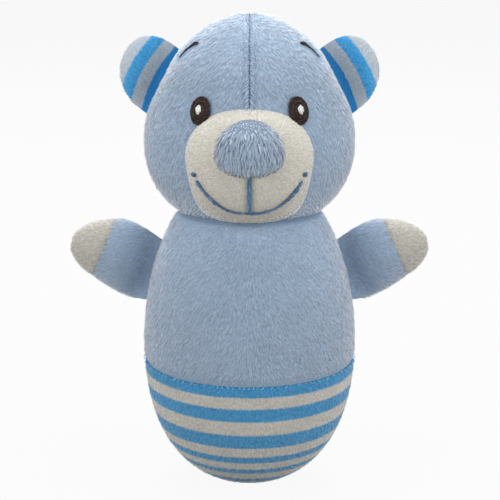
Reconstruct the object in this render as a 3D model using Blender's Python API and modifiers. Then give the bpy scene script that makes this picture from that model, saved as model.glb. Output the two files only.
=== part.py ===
"""Legless plush bear: a stuffed head on an egg body with a weighted base, floppy arms and ears.

Metres, +Z up. The bear faces -Y and stands on the flat at the origin. Its own left is +X.
"""
import math

import bmesh
import bpy
from mathutils import Matrix, Vector

for stale in list(bpy.data.objects):
    bpy.data.objects.remove(stale, do_unlink=True)

# Cloth and sewing
COVER_WALL = 0.0020
SEAM_GAP = 0.0003
THREAD_GAP = 0.0003

# Egg body: heights are above the flat it stands on
BODY_RADIUS = 0.0404
BODY_MID = 0.0550
BODY_RISE = 0.0685
BODY_UPPER_FULLNESS = 2.0
BODY_LOWER_FULLNESS = 2.3
STANDING_CUT = 0.0005
STRIPE_SEAM_HEIGHT = 0.0480
POUCH_EDGE_HEIGHT = 0.0160
POUCH_CROWN = 0.0080

# Neck: covers and seam ring turn about one point inside the shoulders
NECK_HEIGHT = 0.1058
NECK_PIVOT_DEPTH = 0.0218
NECK_SEAM_THICKNESS = 0.0015
NECK_SEAM_WIDTH = 0.0060
NECK_PLAY = 0.0005

# Head: its widest line is lifted off the neck, and the face and ears are set out from that line
HEAD_HALF_WIDTH = 0.0394
HEAD_HALF_DEPTH = 0.0365
HEAD_LIFT = 0.0272
HEAD_RISE = 0.0470
HEAD_DROP = 0.0340
HEAD_UPPER_FULLNESS = 1.85
HEAD_LOWER_FULLNESS = 2.2

# Muzzle and nose, bulging forward from the face
MUZZLE_HALF_WIDTH = 0.0230
MUZZLE_RISE = 0.0203
MUZZLE_DROP = 0.0217
MUZZLE_HALF_DEPTH = 0.0200
MUZZLE_FALL = 0.0032
MUZZLE_REACH = 0.0105
MUZZLE_FULLNESS = 2.3
MUZZLE_UPPER_FULLNESS = 2.28
MUZZLE_LOWER_FULLNESS = 3.5
MUZZLE_TAPER = 0.10
NOSE_HALF_WIDTH = 0.0121
NOSE_RISE = 0.0120
NOSE_DROP = 0.0076
NOSE_REACH = 0.0095
NOSE_LIFT = 0.0054
NOSE_WALL = 0.0016

# Embroidery
EYE_HALF_WIDTH = 0.0038
EYE_HALF_HEIGHT = 0.0050
EYE_RISE = 0.0012
EYE_SPACING = 0.0346
EYE_LIFT = 0.0151
GLINT_HALF_WIDTH = 0.0012
GLINT_HALF_HEIGHT = 0.0020
GLINT_RISE = 0.0008
GLINT_OUT = 0.0007
GLINT_UP = 0.0004
BROW_THREAD_RADIUS = 0.0008
BROW_INNER = 0.0185
BROW_SPAN = 0.0069
BROW_LIFT = 0.0370
BROW_FALL = 0.0055
BROW_BOW = 1.5
BROW_TAPER = 0.6
MOUTH_THREAD_RADIUS = 0.0007
MOUTH_HALF_WIDTH = 0.0187
MOUTH_FALL = 0.0155
MOUTH_CURL = 0.0105
MOUTH_BOW = 2.5
PHILTRUM_THREAD_RADIUS = 0.0009

# Ears, folded out of the head along a straight root seam
EAR_LIFT = 0.0220
EAR_SETBACK = 0.0040
EAR_HALF_WIDTH = 0.0141
EAR_STAND = 0.0162
EAR_SWEEP = 0.0022
EAR_HALF_THICKNESS = 0.0045
EAR_THICKEST = 0.0110
EAR_PINCH = 0.0005
EAR_FULLNESS = 2.25
EAR_GAP = 0.0007

# Arms, sewn flat into the side seams
ARM_ROOT_DEPTH = 0.0228
ARM_LENGTH = 0.0330
ARM_ROOT_HALF_WIDTH = 0.0121
ARM_HALF_WIDTH = 0.0125
ARM_WIDEST = 0.0120
ARM_HALF_THICKNESS = 0.0100
ARM_THICKEST = 0.0160
ARM_PINCH = 0.0005
ARM_FULLNESS = 2.0
ARM_LIFT = 0.0029
ARM_PAW_SEAM = 0.0203
ARM_PAW_SEAM_DEGREES = 9.0
ARM_ROOT_TUCK = 0.0030
ARM_GAP = 0.0008
ARM_WALL = 0.0028
ARM_HOLLOW_START = 0.0090
ROOT_BLUNTNESS = 6.0

# Mesh density
TURN_STEPS = 30
ROUND_SEGMENTS = 28
ROUND_RINGS = 16
DISH_SEGMENTS = 36
DISH_RINGS = 20
FLAP_SEGMENTS = 20
FLAP_RINGS = 14
SMALL_SEGMENTS = 16
SMALL_RINGS = 10

# Heights above the flat, each from the piece that carries it
BODY_DROP = BODY_MID + STANDING_CUT
NECK_PIVOT_HEIGHT = NECK_HEIGHT - NECK_PIVOT_DEPTH
ARM_ROOT_HEIGHT = NECK_HEIGHT - ARM_ROOT_DEPTH
HEAD_MID = NECK_HEIGHT + HEAD_LIFT
MUZZLE_HEIGHT = HEAD_MID - MUZZLE_FALL
NOSE_HEIGHT = MUZZLE_HEIGHT + NOSE_LIFT
MOUTH_HEIGHT = MUZZLE_HEIGHT - MOUTH_FALL
EYE_HEIGHT = HEAD_MID + EYE_LIFT
BROW_TOP_HEIGHT = HEAD_MID + BROW_LIFT
EAR_ROOT_HEIGHT = HEAD_MID + EAR_LIFT
SIDES = {"left": 1.0, "right": -1.0}

parts = bpy.data.collections.new("plush_bear")
cutters = bpy.data.collections.new("cutters")
for collection in (parts, cutters):
    bpy.context.scene.collection.children.link(collection)


def cloth(name, colour, roughness):
    """A Principled material in one colour, given in linear light."""
    material = bpy.data.materials.new(name)
    material.use_nodes = True
    shader = material.node_tree.nodes["Principled BSDF"]
    shader.inputs["Base Color"].default_value = (*colour, 1.0)
    shader.inputs["Roughness"].default_value = roughness
    shader.inputs["Metallic"].default_value = 0.0
    return material


BLUE_PLUSH = cloth("blue_plush", (0.34, 0.43, 0.55), 0.95)
STRIPED_PLUSH = cloth("striped_plush", (0.24, 0.46, 0.68), 0.95)
CREAM_PLUSH = cloth("cream_plush", (0.64, 0.61, 0.56), 0.95)
FIBRE_FILLING = cloth("fibre_filling", (0.80, 0.80, 0.78), 1.0)
PLASTIC_PELLETS = cloth("plastic_pellets", (0.70, 0.70, 0.66), 0.6)
BROWN_THREAD = cloth("brown_thread", (0.035, 0.018, 0.012), 0.6)
WHITE_THREAD = cloth("white_thread", (0.80, 0.80, 0.80), 0.5)
BLUE_THREAD = cloth("blue_thread", (0.105, 0.215, 0.407), 0.6)


def keep(piece, material, carrier=None):
    """Put a finished piece in the bear, with its material, on the empty that carries it."""
    piece.data.materials.append(material)
    parts.objects.link(piece)
    if carrier is not None:
        piece.parent = carrier
    return piece


def carried_in_place(piece, material, carrier):
    """Keep a piece that was modelled where it stands, and hang it on an unturned empty."""
    keep(piece, material, carrier)
    piece.matrix_parent_inverse = Matrix.Translation(-carrier.location)
    return piece


def cutter(piece):
    """Set a shape aside for cutting: it shows as wires and is no piece of the bear."""
    cutters.objects.link(piece)
    piece.hide_render = True
    piece.display_type = "WIRE"
    return piece


def combine(piece, tool, operation="DIFFERENCE"):
    """Cut a piece by a tool, or join the tool to it."""
    boolean = piece.modifiers.new(operation.lower(), "BOOLEAN")
    boolean.operation = operation
    boolean.solver = "EXACT"
    boolean.object = tool
    return piece


def axis_empty(name, frame):
    """An empty standing on a joint's axis."""
    empty = bpy.data.objects.new(name, None)
    empty.matrix_world = frame
    parts.objects.link(empty)
    return empty


def turned(name, outline, closed=False):
    """A piece turned about Z from (radius, height) points that run down its outer side."""
    mesh = bpy.data.meshes.new(name)
    count = len(outline)
    edges = [(i, i + 1) for i in range(count - 1)]
    if closed:
        edges.append((count - 1, 0))
    mesh.from_pydata([(radius, 0.0, height) for radius, height in outline], edges, [])
    piece = bpy.data.objects.new(name, mesh)
    screw = piece.modifiers.new("turn", "SCREW")
    screw.axis = "Z"
    screw.angle = math.tau
    screw.steps = TURN_STEPS
    screw.render_steps = TURN_STEPS
    screw.use_merge_vertices = True
    screw.merge_threshold = 0.00001
    screw.use_smooth_shade = True
    return piece


def rounded(name, place, segments=ROUND_SEGMENTS, rings=ROUND_RINGS, half=False):
    """A ball, or its upper half, with each point of the unit ball moved to its place on the form."""
    ball = bmesh.new()
    bmesh.ops.create_uvsphere(ball, u_segments=segments, v_segments=rings, radius=1.0)
    if half:
        everything = ball.verts[:] + ball.edges[:] + ball.faces[:]
        bmesh.ops.bisect_plane(ball, geom=everything, plane_no=(0.0, 0.0, 1.0), clear_inner=True)
        rim = [edge for edge in ball.edges if edge.is_boundary]
        bmesh.ops.holes_fill(ball, edges=rim)
    for vert in ball.verts:
        vert.co = place(*vert.co)
    bmesh.ops.recalc_face_normals(ball, faces=ball.faces[:])
    mesh = bpy.data.meshes.new(name)
    ball.to_mesh(mesh)
    ball.free()
    mesh.shade_smooth()
    return bpy.data.objects.new(name, mesh)


def swell(share, fullness):
    """Half width of a rounded form, 1 at its middle and 0 where the share of its reach is 1."""
    return max(0.0, 1.0 - abs(share) ** fullness) ** (1.0 / fullness)


def bent(value, fullness):
    """A sine or cosine bent towards a fuller or leaner curve, with its sign kept."""
    return math.copysign(abs(value) ** (2.0 / fullness), value)


def slope(curve, place):
    """How steeply a curve climbs at a place."""
    step = 0.0001
    return (curve(place + step) - curve(place - step)) / (2.0 * step)


def smooth(share):
    """Ease from 0 to 1 as the share goes from 0 to 1."""
    share = min(1.0, max(0.0, share))
    return share * share * (3.0 - 2.0 * share)


# Egg body
def body_reach(above):
    """How far the body goes above or below its middle, and how full that half is."""
    if above:
        return BODY_RISE, BODY_UPPER_FULLNESS
    return BODY_DROP, BODY_LOWER_FULLNESS


def body_radius(height, inset=0.0):
    """The body's radius at a height, or that of a layer set in from its surface."""
    reach, fullness = body_reach(height >= BODY_MID)
    return (BODY_RADIUS - inset) * swell((height - BODY_MID) / (reach - inset), fullness)


def body_line(low, high, inset, count):
    """Points (radius, height) up the body from one height to another, closer where it curves more."""
    bearings = []
    for height in (low, high):
        reach, fullness = body_reach(height >= BODY_MID)
        share = min(1.0, abs(height - BODY_MID) / (reach - inset))
        bearings.append(math.copysign(math.asin(share ** (fullness / 2.0)), height - BODY_MID))
    line = []
    for index in range(count + 1):
        bearing = bearings[0] + (bearings[1] - bearings[0]) * index / count
        reach, fullness = body_reach(bearing >= 0.0)
        height = BODY_MID + (reach - inset) * bent(math.sin(bearing), fullness)
        line.append((body_radius(height, inset), height))
    return line


FILLING_INSET = COVER_WALL + SEAM_GAP
POUCH_FLOOR = COVER_WALL + SEAM_GAP
POUCH_RADIUS = body_radius(POUCH_EDGE_HEIGHT, FILLING_INSET)
POUCH_TOP = POUCH_EDGE_HEIGHT + POUCH_CROWN


def pouch_crown(lift, count):
    """Points over the pouch's domed top, from its middle out to its edge."""
    crown = []
    for index in range(count + 1):
        share = index / count
        crown.append((POUCH_RADIUS * share, lift + POUCH_TOP - POUCH_CROWN * share * share))
    return crown


# Striped cup that the bear stands in
base_top = STRIPE_SEAM_HEIGHT - SEAM_GAP / 2.0
base_outline = [(0.0, COVER_WALL)]
base_outline += body_line(COVER_WALL, base_top, COVER_WALL, 7)
base_outline += body_line(0.0, base_top, 0.0, 9)[::-1]
base_outline += [(0.0, 0.0)]
keep(turned("base_cover", base_outline), STRIPED_PLUSH)

# Plain upper cover, open at the neck
rim_radius = body_radius(NECK_HEIGHT)
rim_bearing = math.atan2(NECK_HEIGHT - NECK_PIVOT_HEIGHT, rim_radius)
rim_reach = math.hypot(rim_radius, NECK_HEIGHT - NECK_PIVOT_HEIGHT)
cover_bottom = STRIPE_SEAM_HEIGHT + SEAM_GAP / 2.0
rim_inner_height = NECK_HEIGHT - COVER_WALL * math.sin(rim_bearing)
cover_outline = body_line(cover_bottom, NECK_HEIGHT, 0.0, 8)[::-1]
cover_outline += body_line(cover_bottom, rim_inner_height, COVER_WALL, 6)
keep(turned("body_cover", cover_outline, closed=True), BLUE_PLUSH)

# Pouch of plastic pellets that keeps the bear upright
pouch_outline = pouch_crown(0.0, 5)
pouch_outline += body_line(POUCH_FLOOR, POUCH_EDGE_HEIGHT, FILLING_INSET, 5)[-2::-1]
pouch_outline += [(0.0, POUCH_FLOOR)]
keep(turned("pellet_pouch", pouch_outline), PLASTIC_PELLETS)

# Fibre filling of the body, bulging up through the neck as a ball about the neck's pivot
shoulder_radius = body_radius(NECK_HEIGHT, FILLING_INSET)
shoulder_bearing = math.atan2(NECK_HEIGHT - NECK_PIVOT_HEIGHT, shoulder_radius)
DOME_RADIUS = math.hypot(shoulder_radius, NECK_HEIGHT - NECK_PIVOT_HEIGHT)


def about_pivot(reach, bearing):
    """Point (radius, height) at a reach from the neck's pivot, a bearing above level."""
    return (reach * math.cos(bearing), NECK_PIVOT_HEIGHT + reach * math.sin(bearing))


def ball_arc(reach, first, last, count):
    """Points along a ball about the neck's pivot, between two bearings."""
    return [about_pivot(reach, first + (last - first) * index / count) for index in range(count + 1)]


filling_outline = [(0.0, NECK_PIVOT_HEIGHT + DOME_RADIUS)]
filling_outline += ball_arc(DOME_RADIUS, math.radians(90.0), shoulder_bearing, 5)[1:]
filling_outline += body_line(POUCH_EDGE_HEIGHT + SEAM_GAP, NECK_HEIGHT, FILLING_INSET, 10)[-2::-1]
filling_outline += pouch_crown(SEAM_GAP, 5)[-2::-1]
keep(turned("body_filling", filling_outline), FIBRE_FILLING)

# Neck: the turned-in edge of the covers is a ring that carries the head
pivot = Matrix.Translation((0.0, 0.0, NECK_PIVOT_HEIGHT))
turn_axis = axis_empty("head_turn_axis", pivot)
nod_axis = axis_empty("head_nod_axis", pivot)
SEAM_INNER = DOME_RADIUS + SEAM_GAP
SEAM_OUTER = SEAM_INNER + NECK_SEAM_THICKNESS
seam_low = rim_bearing + SEAM_GAP / SEAM_INNER
seam_high = seam_low + NECK_SEAM_WIDTH / SEAM_OUTER
seam_outline = ball_arc(SEAM_OUTER, seam_high, seam_low, 2)
seam_outline += ball_arc(SEAM_INNER, seam_low, seam_high, 2)
carried_in_place(turned("neck_seam", seam_outline, closed=True), FIBRE_FILLING, turn_axis)
DISH_RADIUS = max(rim_reach, SEAM_OUTER) + NECK_PLAY


def dish_place(x, y, z):
    """Ball about the neck's pivot that every piece of the head stays outside of."""
    return Vector((x, y, z)) * DISH_RADIUS + Vector((0.0, 0.0, NECK_PIVOT_HEIGHT))


neck_dish = cutter(rounded("neck_dish", dish_place, DISH_SEGMENTS, DISH_RINGS))


# Head
def head_form(name, inset):
    """The head's rounded form, or a layer set in from its surface."""
    def place(x, y, z):
        fullness = HEAD_UPPER_FULLNESS if z >= 0.0 else HEAD_LOWER_FULLNESS
        reach = HEAD_RISE if z >= 0.0 else HEAD_DROP
        across = math.hypot(x, y)
        spread = bent(across, fullness) / across if across > 1e-6 else 0.0
        height = HEAD_MID + (reach - inset) * bent(z, fullness)
        return ((HEAD_HALF_WIDTH - inset) * x * spread, (HEAD_HALF_DEPTH - inset) * y * spread, height)
    return rounded(name, place)


def head_swell(height):
    """Share of the head's full width that is left at a height."""
    if height >= HEAD_MID:
        return swell((height - HEAD_MID) / HEAD_RISE, HEAD_UPPER_FULLNESS)
    return swell((HEAD_MID - height) / HEAD_DROP, HEAD_LOWER_FULLNESS)


def face_depth(x, z):
    """Y of the head's front at a place seen from the front."""
    share = head_swell(z)
    return -HEAD_HALF_DEPTH * math.sqrt(max(0.0, share * share - (x / HEAD_HALF_WIDTH) ** 2))


def muzzle_half(height):
    """The muzzle's half height and fullness above or below its widest line."""
    if height >= 0.0:
        return MUZZLE_RISE, MUZZLE_UPPER_FULLNESS
    return MUZZLE_DROP, MUZZLE_LOWER_FULLNESS


def muzzle_taper(upward):
    """Share of the muzzle's width left at a share of its half height, as it narrows to the chin."""
    return 1.0 - MUZZLE_TAPER * max(0.0, -upward)


def muzzle_depth(x, z):
    """Y of the muzzle's front at a place seen from the front."""
    upright, fullness = muzzle_half(z - MUZZLE_HEIGHT)
    upward = (z - MUZZLE_HEIGHT) / upright
    aside = x / (MUZZLE_HALF_WIDTH * muzzle_taper(upward))
    share = swell(upward, fullness)
    left_over = max(0.0, share ** MUZZLE_FULLNESS - abs(aside) ** MUZZLE_FULLNESS)
    return MUZZLE_CENTRE_Y - MUZZLE_HALF_DEPTH * left_over ** (1.0 / MUZZLE_FULLNESS)


def on_front(depth, x, z):
    """A point on a front surface and the surface's outward direction there."""
    slope_x = slope(lambda place: depth(place, z), x)
    slope_z = slope(lambda place: depth(x, place), z)
    return Vector((x, depth(x, z), z)), Vector((slope_x, -1.0, slope_z)).normalized()


def ball_form(name, centre, halves, segments=ROUND_SEGMENTS, rings=ROUND_RINGS):
    """A ball stretched to three half sizes."""
    def place(x, y, z):
        return (centre[0] + halves[0] * x, centre[1] + halves[1] * y, centre[2] + halves[2] * z)
    return rounded(name, place, segments, rings)


MUZZLE_CENTRE_Y = face_depth(0.0, MUZZLE_HEIGHT) - MUZZLE_REACH + MUZZLE_HALF_DEPTH


def muzzle_form(name, inset):
    """The muzzle's squarish bulge, or a layer set in from its surface."""
    centre = Vector((0.0, MUZZLE_CENTRE_Y, MUZZLE_HEIGHT))

    def place(x, y, z):
        upright, fullness = muzzle_half(z)
        share, upward = bent(math.hypot(x, y), fullness), bent(z, fullness)
        flat = (abs(x) ** MUZZLE_FULLNESS + abs(y) ** MUZZLE_FULLNESS) ** (1.0 / MUZZLE_FULLNESS)
        spread = share / flat if flat > 1e-9 else 0.0
        wide = (MUZZLE_HALF_WIDTH - inset) * muzzle_taper(upward)
        deep = MUZZLE_HALF_DEPTH - inset
        return centre + Vector((wide * spread * x, deep * spread * y, (upright - inset) * upward))
    return rounded(name, place)


NOSE_CENTRE_Y = muzzle_depth(0.0, NOSE_HEIGHT)


def nose_form(name, inset):
    """The nose's ball, taller above its widest line than below, or a layer set in from its surface."""
    def place(x, y, z):
        upright = NOSE_RISE if z >= 0.0 else NOSE_DROP
        forward = NOSE_CENTRE_Y + (NOSE_REACH - inset) * y
        return ((NOSE_HALF_WIDTH - inset) * x, forward, NOSE_HEIGHT + (upright - inset) * z)
    return rounded(name, place, SMALL_SEGMENTS, SMALL_RINGS)


head_hollow = cutter(head_form("head_hollow", COVER_WALL))
head_outside = cutter(head_form("head_outside", -SEAM_GAP))
muzzle_hollow = cutter(muzzle_form("muzzle_hollow", COVER_WALL))
muzzle_outside = cutter(muzzle_form("muzzle_outside", -SEAM_GAP))
muzzle_wad = cutter(muzzle_form("muzzle_wad", FILLING_INSET))
nose_hollow = cutter(nose_form("nose_hollow", NOSE_WALL))

# Head cover, open at the neck and behind the muzzle
head_cover = head_form("head_cover", 0.0)
for tool in (head_hollow, muzzle_hollow, neck_dish):
    combine(head_cover, tool)
carried_in_place(head_cover, BLUE_PLUSH, nod_axis)

# Fibre filling of the head, pushed forward into the muzzle
head_filling = combine(head_form("head_filling", FILLING_INSET), muzzle_wad, "UNION")
carried_in_place(combine(head_filling, neck_dish), FIBRE_FILLING, nod_axis)

# Muzzle panel, sewn to the face along its edge
muzzle_cover = muzzle_form("muzzle_cover", 0.0)
for tool in (muzzle_hollow, head_outside, neck_dish):
    combine(muzzle_cover, tool)
carried_in_place(muzzle_cover, CREAM_PLUSH, nod_axis)

# Nose: a gathered ball of plush with its own wad of fibre
nose_cover = combine(combine(nose_form("nose_cover", 0.0), nose_hollow), muzzle_outside)
carried_in_place(nose_cover, BLUE_PLUSH, nod_axis)
nose_filling = combine(nose_form("nose_filling", NOSE_WALL + SEAM_GAP), muzzle_outside)
carried_in_place(nose_filling, FIBRE_FILLING, nod_axis)


# Embroidery
def facing(point, outward):
    """Frame on a surface: X across, Y up the surface and Z outwards."""
    across = Vector((0.0, 0.0, 1.0)).cross(outward).normalized()
    frame = Matrix((across, outward.cross(across), outward)).transposed().to_4x4()
    frame.translation = point
    return frame


def stitched_oval(name, frame, halves, shift=(0.0, 0.0, 0.0)):
    """A low oval cushion of thread lying in a frame."""
    oval = ball_form(name, shift, halves, SMALL_SEGMENTS, SMALL_RINGS)
    oval.data.transform(frame)
    return oval


def thread_line(name, depth, radius, stations):
    """A line of stitching laid over a front surface at (x, z, share of the thread's radius)."""
    curve = bpy.data.curves.new(name, "CURVE")
    curve.dimensions = "3D"
    curve.bevel_depth = radius
    curve.bevel_resolution = 2
    curve.use_fill_caps = True
    spline = curve.splines.new("POLY")
    spline.points.add(len(stations) - 1)
    for point, (x, z, share) in zip(spline.points, stations):
        seat, outward = on_front(depth, x, z)
        point.co = (*(seat + outward * (radius * share + THREAD_GAP)), 1.0)
        point.radius = share
    return bpy.data.objects.new(name, curve)


for side, sign in SIDES.items():
    seat, outward = on_front(face_depth, sign * EYE_SPACING / 2.0, EYE_HEIGHT)
    frame = facing(seat, outward)
    eye = stitched_oval("eye_" + side, frame, (EYE_HALF_WIDTH, EYE_HALF_HEIGHT, EYE_RISE))
    combine(combine(eye, head_outside), muzzle_outside)
    carried_in_place(eye, BROWN_THREAD, nod_axis)
    grown = (EYE_HALF_WIDTH + THREAD_GAP, EYE_HALF_HEIGHT + THREAD_GAP, EYE_RISE + THREAD_GAP)
    eye_outside = cutter(stitched_oval("eye_outside_" + side, frame, grown))
    glint_halves = (GLINT_HALF_WIDTH, GLINT_HALF_HEIGHT, GLINT_RISE)
    glint_shift = (sign * GLINT_OUT, GLINT_UP, EYE_RISE)
    glint = stitched_oval("eye_glint_" + side, frame, glint_halves, glint_shift)
    carried_in_place(combine(glint, eye_outside), WHITE_THREAD, nod_axis)
    brow_line = []
    for index in range(8):
        share = index / 7.0
        brow_x = sign * (BROW_INNER + BROW_SPAN * share)
        brow_z = BROW_TOP_HEIGHT - BROW_FALL * share ** BROW_BOW
        brow_line.append((brow_x, brow_z, 1.0 - BROW_TAPER * share))
    brow = thread_line("brow_" + side, face_depth, BROW_THREAD_RADIUS, brow_line)
    carried_in_place(brow, BROWN_THREAD, nod_axis)

mouth_line = []
for index in range(19):
    share = index / 9.0 - 1.0
    mouth_line.append((MOUTH_HALF_WIDTH * share, MOUTH_HEIGHT + MOUTH_CURL * abs(share) ** MOUTH_BOW, 1.0))
mouth = thread_line("mouth_line", muzzle_depth, MOUTH_THREAD_RADIUS, mouth_line)
carried_in_place(mouth, BLUE_THREAD, nod_axis)
philtrum_top = NOSE_HEIGHT - NOSE_DROP - PHILTRUM_THREAD_RADIUS
philtrum_foot = MOUTH_HEIGHT + MOUTH_THREAD_RADIUS + THREAD_GAP
philtrum_stations = []
for index in range(6):
    station_height = philtrum_top + (philtrum_foot - philtrum_top) * index / 5.0
    philtrum_stations.append((0.0, station_height, 1.0))
philtrum = thread_line("philtrum_line", muzzle_depth, PHILTRUM_THREAD_RADIUS, philtrum_stations)
carried_in_place(philtrum, BLUE_THREAD, nod_axis)


# Ears and arms: each is modelled in its root's frame, X along the root, Y outwards and Z to the back
def root_frame(sign, x, y, z, rise):
    """Frame of a flap that grows out of one side, its outward axis raised by an angle."""
    outward = Vector((sign * math.cos(rise), 0.0, math.sin(rise)))
    back = Vector((0.0, 1.0, 0.0))
    frame = Matrix((outward.cross(back), outward, back)).transposed().to_4x4()
    frame.translation = (x, y, z)
    return frame


def ear_place(sign, facing_sign):
    """Places for half an ear: a round flap swept upwards and pinched flat at its root."""
    def place(x, y, z):
        across = math.hypot(x, y)
        turn = math.atan2(y, x)
        out = EAR_STAND * across * bent(math.sin(turn), EAR_FULLNESS)
        sweep = sign * EAR_SWEEP * out / EAR_STAND
        along = sweep + EAR_HALF_WIDTH * across * bent(math.cos(turn), EAR_FULLNESS)
        thickness = EAR_PINCH + (EAR_HALF_THICKNESS - EAR_PINCH) * smooth(out / EAR_THICKEST)
        return (along, out, facing_sign * (SEAM_GAP / 2.0 + thickness * z))
    return place


ear_share = head_swell(EAR_ROOT_HEIGHT)
ear_root_x = HEAD_HALF_WIDTH * math.sqrt(ear_share ** 2 - (EAR_SETBACK / HEAD_HALF_DEPTH) ** 2)
ear_rise = math.atan(-slope(head_swell, EAR_ROOT_HEIGHT) * HEAD_HALF_WIDTH)
ear_room = cutter(head_form("ear_room", -EAR_GAP))
for side, sign in SIDES.items():
    frame = root_frame(sign, sign * ear_root_x, EAR_SETBACK, EAR_ROOT_HEIGHT, ear_rise)
    ear_axis = axis_empty("ear_" + side + "_axis", frame)
    for panel, facing_sign in (("front", -1.0), ("back", 1.0)):
        ear_half = ear_place(sign, facing_sign)
        ear = rounded("ear_" + side + "_" + panel, ear_half, FLAP_SEGMENTS, FLAP_RINGS, True)
        keep(combine(ear, ear_room), STRIPED_PLUSH, ear_axis)


def arm_half_width(out):
    """Half the arm's width at a distance out from its root seam."""
    if out <= ARM_WIDEST:
        widening = smooth(out / ARM_WIDEST)
        return ARM_ROOT_HALF_WIDTH + (ARM_HALF_WIDTH - ARM_ROOT_HALF_WIDTH) * widening
    return ARM_HALF_WIDTH * swell((out - ARM_WIDEST) / (ARM_LENGTH - ARM_WIDEST), ARM_FULLNESS)


def arm_half_thickness(out):
    """Half the arm's thickness at a distance out: sewn flat at the root, round at the paw."""
    if out <= ARM_THICKEST:
        return ARM_PINCH + (ARM_HALF_THICKNESS - ARM_PINCH) * smooth(out / ARM_THICKEST)
    return ARM_HALF_THICKNESS * swell((out - ARM_THICKEST) / (ARM_LENGTH - ARM_THICKEST), ARM_FULLNESS)


def arm_lift(sign, out):
    """How far the middle of the arm is raised along the root's line: the left root's line points up."""
    return sign * ARM_LIFT * smooth(out / ARM_PAW_SEAM)


def arm_form(name, sign):
    """The whole arm, with the ball's poles at its root and its tip."""
    def place(x, y, z):
        turn = math.atan2(y, x)
        share = 1.0
        if z >= 0.0:
            out = ARM_THICKEST + (ARM_LENGTH - ARM_THICKEST) * bent(z, ARM_FULLNESS)
        else:
            out = ARM_THICKEST + (ARM_THICKEST + ARM_ROOT_TUCK) * z
            share = min(1.0, math.hypot(x, y) * ROOT_BLUNTNESS)
        across = arm_lift(sign, out) + arm_half_width(out) * share * math.cos(turn)
        return (across, out, -arm_half_thickness(out) * share * math.sin(turn))
    return rounded(name, place, FLAP_SEGMENTS, FLAP_RINGS + 4)


ARM_HOLLOW_END = ARM_LENGTH - ARM_WALL


def arm_wad(name, sign, inset):
    """The hollow inside the arm, or a wad of fibre set in from it."""
    middle = (ARM_HOLLOW_START + ARM_HOLLOW_END) / 2.0
    centre = (arm_lift(sign, middle), middle, 0.0)
    half_length = (ARM_HOLLOW_END - ARM_HOLLOW_START) / 2.0 - inset
    halves = (ARM_HALF_WIDTH - ARM_WALL - inset, half_length, ARM_HALF_THICKNESS - ARM_WALL - inset)
    return ball_form(name, centre, halves, SMALL_SEGMENTS, SMALL_RINGS)


def slab(name, sign, low, high):
    """A block across the arm between two distances out from its root, tilted as the paw's seam is."""
    box = bmesh.new()
    bmesh.ops.create_cube(box, size=1.0)
    block = (4.0 * ARM_HALF_WIDTH, high - low, 4.0 * ARM_HALF_WIDTH)
    bmesh.ops.scale(box, vec=block, verts=box.verts[:])
    bmesh.ops.translate(box, vec=(0.0, (low + high) / 2.0, 0.0), verts=box.verts[:])
    tilt = Matrix.Rotation(-sign * math.radians(ARM_PAW_SEAM_DEGREES), 3, "Z")
    bmesh.ops.rotate(box, cent=(0.0, ARM_PAW_SEAM, 0.0), matrix=tilt, verts=box.verts[:])
    mesh = bpy.data.meshes.new(name)
    box.to_mesh(mesh)
    box.free()
    return bpy.data.objects.new(name, mesh)


arm_root_x = body_radius(ARM_ROOT_HEIGHT)
arm_rise = math.atan(-slope(body_radius, ARM_ROOT_HEIGHT))
room_outline = [(0.0, BODY_MID + BODY_RISE + ARM_GAP)]
room_outline += body_line(BODY_MID - BODY_DROP, BODY_MID + BODY_RISE + ARM_GAP, -ARM_GAP, 32)[-2:0:-1]
room_outline += [(0.0, BODY_MID - BODY_DROP)]
arm_room = cutter(turned("arm_room", room_outline))
for side, sign in SIDES.items():
    frame = root_frame(sign, sign * arm_root_x, 0.0, ARM_ROOT_HEIGHT, arm_rise)
    arm_axis = axis_empty("arm_" + side + "_axis", frame)
    hollow = cutter(arm_wad("arm_hollow_" + side, sign, 0.0))
    paw_end = cutter(slab("paw_end_" + side, sign, ARM_PAW_SEAM - SEAM_GAP / 2.0, 2.0 * ARM_LENGTH))
    sleeve_end = cutter(slab("sleeve_end_" + side, sign, -ARM_LENGTH, ARM_PAW_SEAM + SEAM_GAP / 2.0))
    for tool in (hollow, paw_end, sleeve_end):
        tool.parent = arm_axis
    sleeve = arm_form("arm_" + side + "_sleeve", sign)
    for tool in (hollow, paw_end, arm_room):
        combine(sleeve, tool)
    keep(sleeve, BLUE_PLUSH, arm_axis)
    paw = arm_form("arm_" + side + "_paw", sign)
    for tool in (hollow, sleeve_end):
        combine(paw, tool)
    keep(paw, CREAM_PLUSH, arm_axis)
    keep(arm_wad("arm_" + side + "_filling", sign, SEAM_GAP), FIBRE_FILLING, arm_axis)
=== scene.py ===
"""Legless plush bear in pale blue velour, with cream muzzle and paws and a striped base and ears."""
import math

import bpy
import numpy as np
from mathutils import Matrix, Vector, kdtree


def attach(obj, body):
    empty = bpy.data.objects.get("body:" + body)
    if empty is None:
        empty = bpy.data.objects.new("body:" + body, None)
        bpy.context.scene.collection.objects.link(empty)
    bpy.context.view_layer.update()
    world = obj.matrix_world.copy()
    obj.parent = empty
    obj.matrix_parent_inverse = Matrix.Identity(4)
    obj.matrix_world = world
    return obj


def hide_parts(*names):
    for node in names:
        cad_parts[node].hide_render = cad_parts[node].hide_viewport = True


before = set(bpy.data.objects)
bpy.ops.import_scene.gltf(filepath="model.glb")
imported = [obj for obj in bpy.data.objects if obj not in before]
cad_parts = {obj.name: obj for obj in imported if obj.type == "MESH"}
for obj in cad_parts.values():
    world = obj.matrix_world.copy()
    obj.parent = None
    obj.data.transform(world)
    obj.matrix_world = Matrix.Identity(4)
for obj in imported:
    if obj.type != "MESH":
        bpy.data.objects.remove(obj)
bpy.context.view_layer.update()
scene = bpy.context.scene
scene.view_settings.view_transform = "Standard"
bpy.ops.object.select_all(action="DESELECT")


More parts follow.
